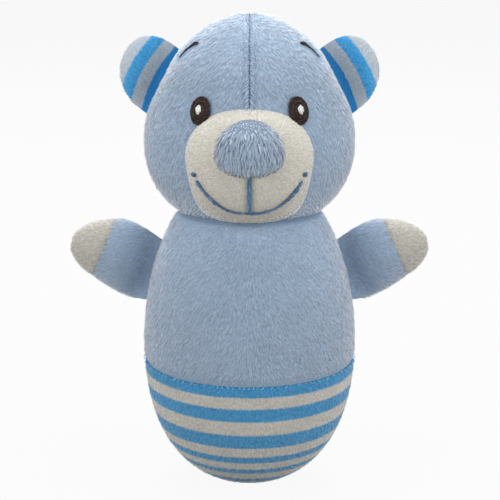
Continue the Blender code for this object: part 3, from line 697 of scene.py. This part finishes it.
# Muzzle: a cream velour panel in the shape of a bulging cushion, sewn to the face along its edge and filled
# from behind, with the mouth worked through its pile.
CREAM = tone(211, 207, 195)
MOUTH_WIDE, MOUTH_HEIGHT, MOUTH_CURL = 0.0187, 0.1143, 0.0105
NOSE_WIDE, NOSE_RISE, NOSE_DROP, NOSE_REACH = 0.0121, 0.0125, 0.0076, 0.0095
NOSE_MIDDLE = np.array([0.0, -0.0465, 0.1352])


def muzzle_half(above):
    """Height and fullness of the muzzle's bulge above or below its middle."""
    return (MUZZLE_RISE, MUZZLE_FULL_ABOVE) if above else (MUZZLE_DROP, MUZZLE_FULL_BELOW)


def muzzle_place(x, y, z):
    """Places on the muzzle's bulge, squarer and narrower to the chin, sunk under its surface."""
    upright, fullness = muzzle_half(z >= 0.0)
    upward = bent(z, fullness)
    flat = (abs(x) ** MUZZLE_FULL_ROUND + abs(y) ** MUZZLE_FULL_ROUND) ** (1.0 / MUZZLE_FULL_ROUND)
    spread = bent(math.hypot(x, y), fullness) / flat if flat > 1e-6 else 0.0
    wide = (MUZZLE_WIDE - PILE_SINK) * (1.0 - MUZZLE_TAPER * max(0.0, -upward))
    return (wide * spread * x, MUZZLE_MIDDLE[1] + (MUZZLE_DEEP - PILE_SINK) * spread * y,
            MUZZLE_MIDDLE[2] + (upright - PILE_SINK) * upward)


def in_nose(rows, grown=0.0):
    """True for points inside the nose's ball, or the ball grown a little."""
    off = rows - NOSE_MIDDLE
    tall = np.where(off[:, 2] > 0.0, NOSE_RISE, NOSE_DROP) + grown
    wide, deep = np.full(len(rows), NOSE_WIDE + grown), np.full(len(rows), NOSE_REACH + grown)
    return ((off / np.stack([wide, deep, tall], axis=1)) ** 2).sum(axis=1) < 1.0


def mouth_height(across):
    """Height of the smile at a distance across the muzzle."""
    return MOUTH_HEIGHT + MOUTH_CURL * abs(across / MOUTH_WIDE) ** 2.5


def muzzle_brush(rows, out):
    """The muzzle is brushed outwards from under the nose, and parts along the mouth."""
    way = np.stack([rows[:, 0] * 1.2, np.zeros(len(rows)), rows[:, 2] - 0.1360], axis=1)
    share = np.clip((rows[:, 2] - 0.1085) / 0.004, 0.7, 1.0)
    share[in_head(rows, -0.0006) | in_nose(rows, -0.0006)] = 0.0
    front = rows[:, 1] < -0.028
    off_line = abs(rows[:, 2] - mouth_height(rows[:, 0]))
    in_reach = front & (abs(rows[:, 0]) < MOUTH_WIDE + 0.0004)
    share[in_reach & (off_line < 0.0004)] = 0.0
    share[in_reach & (off_line >= 0.0004) & (off_line < 0.0024)] *= 0.62
    middle = front & (rows[:, 2] < 0.1290) & (rows[:, 2] > MOUTH_HEIGHT)
    share[middle & (abs(rows[:, 0]) < 0.0008)] = 0.0
    share[middle & (abs(rows[:, 0]) >= 0.0008) & (abs(rows[:, 0]) < 0.0028)] *= 0.65
    return way, share


def muzzle_held(rows):
    """The muzzle's cloth is held along its edge and under the nose."""
    return in_head(rows) | in_nose(rows)


# Painted shade on the muzzle, darker towards the chin, which is lit less from above.
cream_fade = ((0.1095, 0.64), (0.118, 0.76), (0.130, 0.91), (0.148, 1.0))
cream_looks = finishes("cream", plain(CREAM), 0.14, fade=cream_fade)
muzzle_cloth = cover("muzzle_cloth", muzzle_place, 40, 26, muzzle_held, 0.0006)
muzzle_pile = plant("muzzle_pile", muzzle_cloth, muzzle_brush, 4.4, 0.0015, 0.00040, 31)
dress(muzzle_cloth, muzzle_pile, cream_looks, "head", ["muzzle_cover"])


# Nose: a round of blue velour with a longer pile, gathered into a ball over a wad of fibre and sewn to the
# top of the muzzle. Its pile is brushed down and out from its top.
def nose_place(x, y, z):
    """Places on the nose's ball, sunk under its surface."""
    tall = NOSE_RISE if z >= 0.0 else NOSE_DROP
    halves = (NOSE_WIDE - PILE_SINK, NOSE_REACH - PILE_SINK, tall - PILE_SINK)
    return [middle + half * value for middle, half, value in zip(NOSE_MIDDLE, halves, (x, y, z))]


def nose_brush(rows, out):
    """The nose is brushed away from its top."""
    way = rows - np.array([0.0, -0.0370, 0.1520])
    share = np.clip((0.1480 - rows[:, 2]) / 0.0045, 0.45, 1.0)
    share[in_muzzle(rows, -0.0006)] = 0.0
    return way * np.array([1.25, 1.0, 1.0]), share


def nose_held(rows):
    """The nose is held where it is sewn to the muzzle."""
    return in_muzzle(rows, 0.001)


# Painted highlight on the top of the nose, painted shade at the roots of its locks, and a backing painted
# darker as shade between them.
nose_fade = ((0.128, 1.08), (0.142, 1.08), (0.147, 1.26))
nose_looks = (backing("nose_backing", plain(PAINTED_SHADE_BLUE)),
              velour("nose_velour", plain(BLUE), 0.60, fade=nose_fade))
nose_cloth = cover("nose_cloth", nose_place, 32, 20, nose_held, 0.0005)
nose_pile = plant("nose_pile", nose_cloth, nose_brush, 8.5, 0.0029, 0.00038, 41, 16.0, 0.22, 5, 0.85)
dress(nose_cloth, nose_pile, nose_looks, "head", ["nose_cover"])


# Embroidered eyes: each is worked in rings of brown thread over a low pad, the outer rings darkest, with a
# glint of upright white stitches on its outer half. The muzzle's edge laps over its lower inner side.
DARK_BROWN, WARM_BROWN = tone(27, 13, 10), tone(86, 66, 58)


def thread(name, dark, light):
    """Embroidery thread: a soft sheen, with a fine twist and a tint that changes from stitch to stitch."""
    made, tree, shader = plain_maker(name)
    place = add_node(tree, "TexCoord").outputs["Object"]
    nap = add_node(tree, "Attribute", attribute_name="nap").outputs["Fac"]
    twist = noise(tree, place, 2600.0, 2.0)
    fleck = greys(tree, twist, (0.3, 0.80), (0.7, 1.12))
    colour = add_ramp(tree, nap, [(0.0, dark), (1.0, light)])
    tree.links.new(times(tree, colour, fleck), shader.inputs["Base Color"])
    add_bump(tree, shader, twist, 0.6, 0.0001)
    shader.inputs["Roughness"].default_value = 0.62
    shader.inputs["Specular IOR Level"].default_value = 0.3
    return made


def stitches(name, lines, finish, body, nodes):
    """One piece from many stitches, each a round thread along its points, thickest in the middle.

    A line is its points, the thread's radius, and the stitch's tint from 0 to 1."""
    rows, faces, naps = [], [], []
    sides = 6
    for line, radius, tint in lines:
        line = np.array(line, dtype=float)
        first = len(rows)
        last = len(line) - 1
        for index, point in enumerate(line):
            ahead = unit((line[min(last, index + 1)] - line[max(0, index - 1)])[None])[0]
            across = unit(np.cross(ahead, [0.31, -0.87, 0.38])[None])[0]
            over = np.cross(ahead, across)
            girth = radius * (0.45 + 0.55 * math.sin(math.pi * (index + 0.25) / (last + 0.5)))
            for corner in range(sides):
                turn = math.tau * corner / sides
                rows.append(point + girth * (across * math.cos(turn) + over * math.sin(turn)))
                naps.append(tint)
        for index in range(last):
            for corner in range(sides):
                here, there = first + index * sides, first + (index + 1) * sides
                beside = (corner + 1) % sides
                faces.append((here + corner, here + beside, there + beside, there + corner))
        faces.append(tuple(first + corner for corner in reversed(range(sides))))
        faces.append(tuple(first + last * sides + corner for corner in range(sides)))
    mesh = bpy.data.meshes.new(name)
    mesh.from_pydata([tuple(row) for row in rows], [], faces)
    mesh.attributes.new("nap", "FLOAT", "POINT").data.foreach_set("value", np.array(naps, dtype=np.float32))
    work = bpy.data.objects.new(name, mesh)
    scene.collection.objects.link(work)
    work_on(work, bpy.ops.mesh.normals_make_consistent, inside=False)
    bpy.ops.object.shade_smooth()
    mesh.materials.append(finish)
    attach(work, body)
    if nodes:
        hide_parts(*nodes)
    return work


def face_point(x, z):
    """Point on the front of the head's ball."""
    left_over = head_share(np.array([z]))[0] ** 2 - (x / HEAD_WIDE) ** 2
    return np.array([x, -HEAD_DEEP * math.sqrt(max(0.0, left_over)), z])


def muzzle_point(x, z):
    """Point on the front of the muzzle's bulge."""
    upright, fullness = muzzle_half(z >= MUZZLE_MIDDLE[2])
    upward = (z - MUZZLE_MIDDLE[2]) / upright
    aside = x / (MUZZLE_WIDE * (1.0 - MUZZLE_TAPER * max(0.0, -upward)))
    girth = max(0.0, 1.0 - abs(upward) ** fullness) ** (1.0 / fullness)
    left_over = max(0.0, girth ** MUZZLE_FULL_ROUND - abs(aside) ** MUZZLE_FULL_ROUND)
    left_over = left_over ** (1.0 / MUZZLE_FULL_ROUND)
    return np.array([x, MUZZLE_MIDDLE[1] - MUZZLE_DEEP * left_over, z])


def flat_on(front, x, z):
    """A point on a front, and the directions across, up and out from it."""
    step = 0.0002
    across = unit((front(x + step, z) - front(x - step, z))[None])[0]
    upward = unit((front(x, z + step) - front(x, z - step))[None])[0]
    out = unit(np.cross(across, upward)[None])[0]
    return front(x, z), across, unit(np.cross(out, across)[None])[0], out


brown_thread = thread("brown_thread", DARK_BROWN, WARM_BROWN)
white_thread = thread("white_thread", tone(188, 191, 188), tone(226, 229, 226))
EYE_WIDE, EYE_TALL = 0.0039, 0.0053
for side, sign in SIDES:
    chance = np.random.default_rng(51)
    seat, across, upward, out = flat_on(face_point, sign * EYE_OUT, EYE_HEIGHT)
    lines = []
    for ring, tint, thick in ((0.93, 0.02, 0.00040), (0.80, 0.10, 0.00030), (0.66, 0.55, 0.00024),
                              (0.52, 0.15, 0.00028), (0.38, 0.55, 0.00024), (0.24, 0.20, 0.00028),
                              (0.08, 0.60, 0.00026)):
        count = max(3, round(20 * ring))
        lag = chance.random()
        for index in range(count):
            line = []
            for part in range(5):
                turn = math.tau * (index + lag + 1.12 * part / 4.0) / count
                wave = ring + chance.normal(0.0, 0.012)
                lift = 0.0002 + 0.0006 * (1.0 - ring * ring)
                line.append(seat + across * EYE_WIDE * wave * math.cos(turn)
                            + upward * EYE_TALL * wave * math.sin(turn) + out * lift)
            lines.append((line, thick, min(1.0, max(0.0, tint + chance.normal(0.0, 0.20)))))
    for level in range(9):
        reach = math.sqrt(1.0 - (level / 4.0 - 1.0) ** 2 * 0.86) * 0.86
        height = EYE_TALL * 0.86 * (level / 4.0 - 1.0)
        line = [seat + across * EYE_WIDE * reach * spot + upward * height - out * 0.0003
                for spot in (-1.0, -0.5, 0.0, 0.5, 1.0)]
        lines.append((line, 0.00075, 0.05))
    stitches("eye_" + side + "_stitches", lines, brown_thread, "head", ["eye_" + side])
    lines = []
    for index, (low, high) in enumerate(((-0.4, 1.1), (-1.25, 1.55), (-1.6, 1.9), (-1.5, 1.75), (-0.7, 1.2))):
        shift = (sign * 0.45 + (index - 2.0) * 0.42) * 0.001
        bow = 0.0011 + chance.normal(0.0, 0.00006)
        line = [seat + across * (shift + chance.normal(0.0, 0.00005)) + out * bow
                + upward * (0.0001 + 0.001 * (low + (high - low) * part / 4.0)) for part in range(5)]
        lines.append((line, 0.00030, 0.5 + 0.4 * chance.random()))
    stitches("eye_" + side + "_glint", lines, white_thread, "head", ["eye_glint_" + side])


# Brows: a few dark stitches drawn tight through the pile over each eye, thick at the inner end and running
# out to a single thread.
for side, sign in SIDES:
    chance = np.random.default_rng(61)
    lines = []
    for start, end, thick, off in ((0.0, 0.20, 0.00068, 0.0), (0.02, 0.34, 0.00052, 0.0002),
                                   (0.2, 0.55, 0.00042, 0.0), (0.48, 0.80, 0.00034, 0.0001),
                                   (0.74, 1.0, 0.00028, 0.0)):
        line = []
        for part in range(6):
            share = start + (end - start) * part / 5.0
            height = BROW_HEIGHT - BROW_FALL * share ** 1.5 + off
            point, across, upward, out = flat_on(face_point, sign * (BROW_OUT + BROW_LONG * share), height)
            line.append(point + out * (0.0002 + chance.normal(0.0, 0.00004)))
        lines.append((line, thick, 0.15 * chance.random()))
    stitches("brow_" + side + "_stitches", lines, brown_thread, "head", ["brow_" + side])


# Mouth: a smile of blue thread worked through the muzzle's pile in short uneven stitches that sink into it,
# with a knot at each corner, and a band of upright stitches from the nose down to it.
blue_thread = thread("blue_thread", tone(55, 83, 113), tone(96, 126, 156))
chance = np.random.default_rng(71)
lines = []
for index in range(26):
    line = []
    for part in range(5):
        share = -1.0 + 2.0 * (index + 1.15 * part / 4.0) / 26.15
        x = MOUTH_WIDE * share
        point, across, upward, out = flat_on(muzzle_point, x, mouth_height(x))
        arch = math.sin(math.pi * part / 4.0)
        line.append(point + out * (0.00028 * arch - 0.0001) + upward * chance.normal(0.0, 0.00010))
    lines.append((line, 0.00046 + 0.00022 * abs(share) + chance.normal(0.0, 0.00008), chance.random()))
for sign in (-1.0, 1.0):
    for turn in (0.9, 1.5, 2.2):
        point, across, upward, out = flat_on(muzzle_point, sign * 0.01955, 0.1269)
        reach = upward * math.cos(turn) - across * sign * math.sin(turn)
        line = [point + reach * 0.0010 * spot + out * (0.0004 - 0.0003 * spot * spot)
                for spot in (-1.0, -0.4, 0.4, 1.0)]
        lines.append((line, 0.00056, 0.4 * chance.random()))
stitches("mouth_stitches", lines, blue_thread, "head", ["mouth_line"])
lines = []
for row in range(3):
    for index in range(4):
        line = []
        for part in range(5):
            height = 0.1290 - 0.0150 * (index + 0.25 * row - 0.2 + 1.1 * part / 4.0) / 4.2
            point, across, upward, out = flat_on(muzzle_point, (row - 1.0) * 0.00047, max(height, 0.1146))
            line.append(point + out * (0.0002 + 0.0003 * math.sin(math.pi * part / 4.0)))
        lines.append((line, 0.00040, chance.random()))
stitches("philtrum_stitches", lines, blue_thread, "head", ["philtrum_line"])


# Seams: the head's halves and the body's two parts are closed with short dark stitches, drawn down between
# the pile so that it rolls up on both sides of them.
seam_thread = thread("seam_thread", tone(94, 116, 146), tone(138, 160, 186))
SEAM_SHARE, SEAM_STITCHES, SEAM_FLECKS = 0.9905, 120, 130
chance = np.random.default_rng(81)
lines = []
for index in range(64):
    line = []
    for part in range(4):
        rise = math.radians(24.0 + (index + 0.86 * part / 3.0) * 2.95)
        reach, fullness = (HEAD_RISE, HEAD_FULL_ABOVE) if rise < math.pi else (HEAD_DROP, HEAD_FULL_BELOW)
        depth = -HEAD_DEEP * bent(math.cos(rise), fullness)
        height = HEAD_MID + reach * bent(math.sin(rise), fullness)
        toward = unit(np.array([[0.0, depth, height - HEAD_MID]]))[0]
        sunk = PILE_SINK + 0.0006 - 0.0003 * math.sin(math.pi * part / 3.0)
        line.append(np.array([chance.normal(0.0, 0.00005), depth, height]) - toward * sunk)
    lines.append((line, 0.00026, chance.random()))
stitches("head_seam_stitches", lines, seam_thread, "head", [])
tuft_thread = thread("tuft_thread", tone(150, 172, 196), tone(196, 210, 224))
lines = []
for index in range(156):
    sign = 1.0 if index % 2 else -1.0
    rise = math.radians(21.0 + 1.4 * (index // 6) + chance.normal(0.0, 0.22))
    depth = -HEAD_DEEP * bent(math.cos(rise), HEAD_FULL_ABOVE)
    height = HEAD_MID + HEAD_RISE * bent(math.sin(rise), HEAD_FULL_ABOVE)
    toward = unit(np.array([[0.0, depth, height - HEAD_MID]]))[0]
    down = np.array([0.0, toward[2], -toward[1]])
    down = down if down[2] < 0.0 else -down
    span, spread = 0.0010 + 0.0010 * chance.random(), 0.45 + 0.5 * chance.random()
    line = [np.array([sign * (0.0003 + spread * span * part), depth, height])
            + down * span * part + toward * (-0.0005 + 0.0009 * math.sin(math.pi * (0.1 + 0.6 * part)))
            for part in (0.0, 0.35, 0.7, 1.0)]
    lines.append((line, 0.00013, 0.8 * chance.random()))
stitches("head_seam_tufts", lines, tuft_thread, "head", [])
lines = []
for index in range(SEAM_STITCHES):
    line = []
    for part in range(4):
        turn = math.tau * (index + 0.84 * part / 3.0) / SEAM_STITCHES
        reach = (EGG_RADIUS - PILE_SINK) * SEAM_SHARE + 0.00020 * math.sin(math.pi * part / 3.0) - 0.0009
        line.append(round_at(reach, turn, STRIPE_SEAM + chance.normal(0.0, 0.00005)))
    lines.append((line, 0.00024, chance.random()))
stitches("body_seam_stitches", lines, seam_thread, "torso", [])
lines = []
for index in range(SEAM_FLECKS):
    start = math.tau * (index + 0.9 * chance.random()) / SEAM_FLECKS
    drift, drop = chance.normal(0.0, 0.018), 0.0003 + 0.0006 * chance.random()
    line = []
    for part in (0.0, 0.35, 0.7, 1.0):
        reach = EGG_RADIUS * SEAM_SHARE - 0.0004 + 0.0010 * math.sin(math.pi * (0.1 + 0.5 * part))
        line.append(round_at(reach, start + drift * part, STRIPE_SEAM + 0.0002 - drop * part))
    lines.append((line, 0.00014, chance.random()))
fleck_thread = thread("fleck_thread", tone(104, 160, 202), tone(164, 198, 222))
stitches("body_seam_tufts", lines, fleck_thread, "torso", [])


# Neck: the gathered edges of head and body are turned in and overcast to one another as a soft ring, which
# lies in the crease under the head and carries it.
bpy.ops.mesh.primitive_torus_add(major_segments=72, minor_segments=12, major_radius=1.0, minor_radius=0.25)
neck_ring = bpy.context.object
neck_ring.name = "neck_ring"
RING_RISE, RING_REACH, RING_STITCHES = math.radians(45.6), 0.03348, 72


def neck_point(reach, rise, turn):
    """A point at a reach, a rise and a turn from the neck's pivot."""
    return round_at(reach * math.cos(rise), turn, NECK_PIVOT + reach * math.sin(rise))


for vert in neck_ring.data.vertices:
    turn = math.atan2(vert.co.y, vert.co.x)
    over, up = (math.hypot(vert.co.x, vert.co.y) - 1.0) * 4.0, vert.co.z * 4.0
    rise = RING_RISE + math.radians(3.6) * up
    reach = RING_REACH + 0.0004 * over + 0.00010 * math.sin(36.0 * turn)
    vert.co = neck_point(reach, rise, turn)
bpy.ops.object.shade_smooth()
# The ring is painted a darker blue, as shade in the crease.
neck_ring.data.materials.append(backing("neck_backing", plain(PAINTED_SHADE_BLUE)))
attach(neck_ring, "neck")
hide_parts("neck_seam")
lines = []
for index in range(RING_STITCHES):
    line = []
    for part in range(5):
        turn = math.tau * (index + 0.45 * part / 4.0) / RING_STITCHES
        rise = RING_RISE + math.radians(3.2) * (part / 2.0 - 1.0)
        reach = RING_REACH + 0.0003 + 0.00025 * math.sin(math.pi * part / 4.0)
        line.append(neck_point(reach, rise, turn))
    lines.append((line, 0.00022, chance.random()))
stitches("neck_stitches", lines, seam_thread, "neck", [])


# Ears: two rounds of the striped velour each, sewn together round the edge, turned, lightly filled and sewn
# flat into the side of the head. The stripes run along the head's edge, a blue one next to it.
EAR_WIDE, EAR_STAND, EAR_SWEEP, EAR_THICK, EAR_FULL = 0.0140, 0.0161, 0.0029, 0.0045, 2.25
EAR_STRIPE_RISE, EAR_STRIPE_BOW = math.radians(28.7), 10.6
FLAP_SINK, FLAP_EDGE, ROOT_GAP = 0.0003, 0.0005, 0.0003
# The ear's colours carry painted light and shade: its white is painted greyer and bluer as shade, its blue
# painted lighter against that shade, and its innermost blue band, next to the head, painted darker as shade.
EAR_WHITE, EAR_BLUE, EAR_SHADOW_BLUE = tone(184, 197, 208), tone(62, 160, 222), tone(52, 138, 205)
ear_bands = [(0.0, EAR_SHADOW_BLUE), (0.0024, EAR_WHITE), (0.0070, EAR_BLUE), (0.0118, EAR_WHITE)]


def smooth(share):
    """Ease from 0 to 1 as the share goes from 0 to 1."""
    share = min(1.0, max(0.0, share))
    return share * share * (3.0 - 2.0 * share)


def side_frame(sign, root, outward):
    """Root point of a flap on one side, and its directions up along the root and outwards."""
    up = np.array([-sign * outward[2], 0.0, outward[0]])
    return np.array([sign * root[0], root[1], root[2]]), up, np.array([sign * outward[0], 0.0, outward[2]])


def close_off(form, place):
    """Cut a flap's root back to just under the surface that it is sewn into."""
    return cut_away(form, moved_ball("sewn_into", place(ROOT_GAP), 64, 40))


for side, sign in SIDES:
    ear = "ear_" + side
    root, upward, outward = side_frame(sign, EAR_ROOT, EAR_OUTWARD)

    def ear_place(x, y, z):
        """Places on the ear, swept upwards and pinched flat at its root."""
        across, turn = math.hypot(x, y), math.atan2(y, x)
        out = (EAR_STAND - FLAP_SINK) * across * bent(math.sin(turn), EAR_FULL)
        along = EAR_SWEEP * out / EAR_STAND + (EAR_WIDE - FLAP_SINK) * across * bent(math.cos(turn), EAR_FULL)
        thick = FLAP_EDGE + (EAR_THICK - 0.0008) * smooth(out / 0.0110)
        return root + upward * along + outward * out + np.array([0.0, thick * z, 0.0])

    def ear_held(rows):
        """The ear is held at its root and round its edge."""
        return ((rows - root) @ outward < 0.003) | (abs(rows[:, 1] - root[1]) < 0.0006)

    def ear_brush(rows, out):
        """The ear is brushed outwards, and clipped close at its root."""
        reach = (rows - root) @ outward
        share = np.clip((reach + 0.001) / 0.005, 0.4, 1.0)
        share[in_head(rows, ROOT_GAP)] = 0.0
        return outward + 0.35 * np.sign(rows[:, 1:2] - root[1]) * np.array([0.0, 0.0, -1.0]), share

    ear_along = (sign * math.cos(EAR_STRIPE_RISE), 0.0, math.sin(EAR_STRIPE_RISE))
    ear_looks = finishes(ear, ear_bands, start=root, along=ear_along, bow=EAR_STRIPE_BOW)
    ear_cloth = cover(ear + "_cloth", ear_place, 40, 24, ear_held, 0.0006)
    close_off(ear_cloth, head_place)
    ear_pile = plant(ear + "_pile", ear_cloth, ear_brush, 4.6, 0.0014, 0.00040, 91)
    dress(ear_cloth, ear_pile, ear_looks, ear, [ear + "_front", ear + "_back"])


# Arms: a blue velour sleeve with a cream paw sewn across its end, turned and filled with fibre, and sewn flat
# into the side of the body, so that it swings on the seam.
ARM_LONG, ARM_ROOT_WIDE, ARM_WIDE, ARM_THICK = 0.0325, 0.0125, 0.0129, 0.0100
ARM_LIFT, PAW_SEAM, PAW_TILT, THICKEST_AT, WIDEST_AT = 0.0030, 0.0203, math.radians(9.0), 0.0160, 0.0120
ARM_ROOT, ARM_OUTWARD = (0.03687, 0.0, 0.0830), (0.96684, 0.0, 0.25539)
# Painted light on the sleeves, lightest near the body, to lift the shade that falls there.
sleeve_fade = ((0.036, 1.30), (0.043, 1.55), (0.049, 1.24), (0.055, 1.0))
# Painted shade on the paws: darker low down, lightest at their tops.
paw_fade = ((0.085, 0.60), (0.098, 0.68), (0.106, 0.90))
# The sleeve's blue is painted darker than the body's, as shade.
sleeve_looks = finishes("sleeve", plain(shade(BLUE, 0.86)), 0.22, fade=sleeve_fade, fade_way="X")
paw_looks = finishes("paw", plain(CREAM), 0.14, fade=paw_fade)


def rounded_end(full, out, start):
    """Half a width of the arm beyond where it is full, rounding off to the arm's end."""
    return full * math.sqrt(max(0.0, 1.0 - ((out - start) / (ARM_LONG - start)) ** 2))


def egg_room(sink):
    """Places on the egg body, sunk under its surface or grown out from it."""
    def place(x, y, z):
        reach, fullness = (EGG_RISE, EGG_FULL_ABOVE) if z >= 0.0 else (EGG_DROP, EGG_FULL_BELOW)
        radius = (EGG_RADIUS - sink) * bent(math.hypot(x, y), fullness)
        return round_at(radius, math.atan2(y, x), EGG_MID + (reach - sink) * bent(z, fullness))
    return place


def in_egg(rows, grown):
    """True for points inside the egg body grown a little."""
    share = np.clip((rows[:, 2] - EGG_MID) / (EGG_RISE + grown), 0.0, 1.0)
    return np.hypot(rows[:, 0], rows[:, 1]) < (EGG_RADIUS + grown) * np.sqrt(1.0 - share * share)


for side, sign in SIDES:
    root, upward, outward = side_frame(sign, ARM_ROOT, ARM_OUTWARD)
    seam_point = root + outward * PAW_SEAM
    seam_way = outward * math.cos(PAW_TILT) + upward * math.sin(PAW_TILT)

    def arm_place(x, y, z):
        """Places on the arm, from its flat root to the round end of its paw."""
        turn = math.atan2(y, x)
        share = 1.0
        if z >= 0.0:
            out = THICKEST_AT + (ARM_LONG - FLAP_SINK - THICKEST_AT) * z
        else:
            out = THICKEST_AT + 0.0190 * z
            share = min(1.0, math.hypot(x, y) * 6.0)
        wide = ARM_ROOT_WIDE + (ARM_WIDE - ARM_ROOT_WIDE) * smooth(out / WIDEST_AT)
        if out > WIDEST_AT:
            wide = rounded_end(ARM_WIDE, out, WIDEST_AT)
        thick = FLAP_EDGE + (ARM_THICK - FLAP_EDGE) * smooth(out / THICKEST_AT)
        if out > THICKEST_AT:
            thick = rounded_end(ARM_THICK, out, THICKEST_AT)
        bulge = math.sin(math.pi * min(1.0, max(0.0, out / PAW_SEAM)) ** 0.7)
        wide += bulge * (0.0016 if math.cos(turn) > 0.0 else 0.0008)
        along = ARM_LIFT * smooth(out / PAW_SEAM) + (wide - FLAP_SINK) * share * math.cos(turn)
        return root + outward * out + upward * along + np.array([0.0, thick * share * math.sin(turn), 0.0])

    def arm_held(rows):
        """The arm is held at its root and round the paw's seam."""
        return ((rows - root) @ outward < 0.004) | (abs((rows - seam_point) @ seam_way) < 0.0010)

    def arm_brush(rows, out):
        """The arm is brushed out to its paw, and clipped close at its root."""
        reach = (rows - root) @ outward
        share = np.clip((reach + 0.003) / 0.006, 0.70, 1.0)
        share[in_egg(rows, 0.0004)] = 0.0
        past = abs((rows - seam_point) @ seam_way)
        share[past < 0.0002] = 0.0
        lining = np.linalg.norm(np.cross(out, seam_way), axis=1) < 0.05
        share[lining & (past < 0.0006)] = 0.0
        return outward + np.array([0.0, 0.0, -0.45]), share

    arm = cover("arm_" + side, arm_place, 36, 26, arm_held, 0.0006)
    close_off(arm, egg_room)
    arm_rows = points_of(arm)
    offset = arm_rows - (seam_point + upward * ARM_LIFT)
    offset -= (offset @ seam_way)[:, None] * seam_way
    nip = np.exp(-(((arm_rows - seam_point) @ seam_way) / 0.0010) ** 2)
    put_points(arm, arm_rows - unit(offset) * (0.0003 * nip)[:, None])
    sleeve_cloth = part_of(arm, "sleeve_" + side + "_cloth", seam_point, seam_way)
    paw_cloth = part_of(arm, "paw_" + side + "_cloth", seam_point, -seam_way)
    bpy.data.objects.remove(arm)
    sleeve_pile = plant("sleeve_" + side + "_pile", sleeve_cloth, arm_brush, 4.0, 0.0020, 0.00041, 101)
    paw_pile = plant("paw_" + side + "_pile", paw_cloth, arm_brush, 4.4, 0.0016, 0.00040, 102)
    arm_body = "arm_" + side
    dress(sleeve_cloth, sleeve_pile, sleeve_looks, arm_body, [arm_body + "_sleeve"])
    dress(paw_cloth, paw_pile, paw_looks, arm_body, [arm_body + "_paw"])


# Fillings inside the covers: loose polyester fibre in head, body, nose and arms, and a cotton pouch of
# plastic pellets in the bottom of the body, which keeps the bear upright.
def inside_stuff(name, dark, light, scale):
    """Matted fibre or plain cotton, mottled and rough."""
    made, tree, shader = plain_maker(name)
    place = add_node(tree, "TexCoord").outputs["Object"]
    mat = noise(tree, place, scale, 6.0, 0.7)
    tree.links.new(add_ramp(tree, mat, [(0.3, dark), (0.7, light)]), shader.inputs["Base Color"])
    add_bump(tree, shader, mat, 0.8, 0.0006)
    return made


fibre = inside_stuff("loose_fibre", tone(214, 214, 210), tone(246, 246, 242), 320.0)
cotton = inside_stuff("pellet_cotton", tone(196, 192, 180), tone(224, 220, 208), 900.0)
for node in ("body_filling", "head_filling", "nose_filling", "arm_left_filling", "arm_right_filling",
             "pellet_pouch"):
    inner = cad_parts[node]
    inner.data.materials.clear()
    inner.data.materials.append(cotton if node == "pellet_pouch" else fibre)
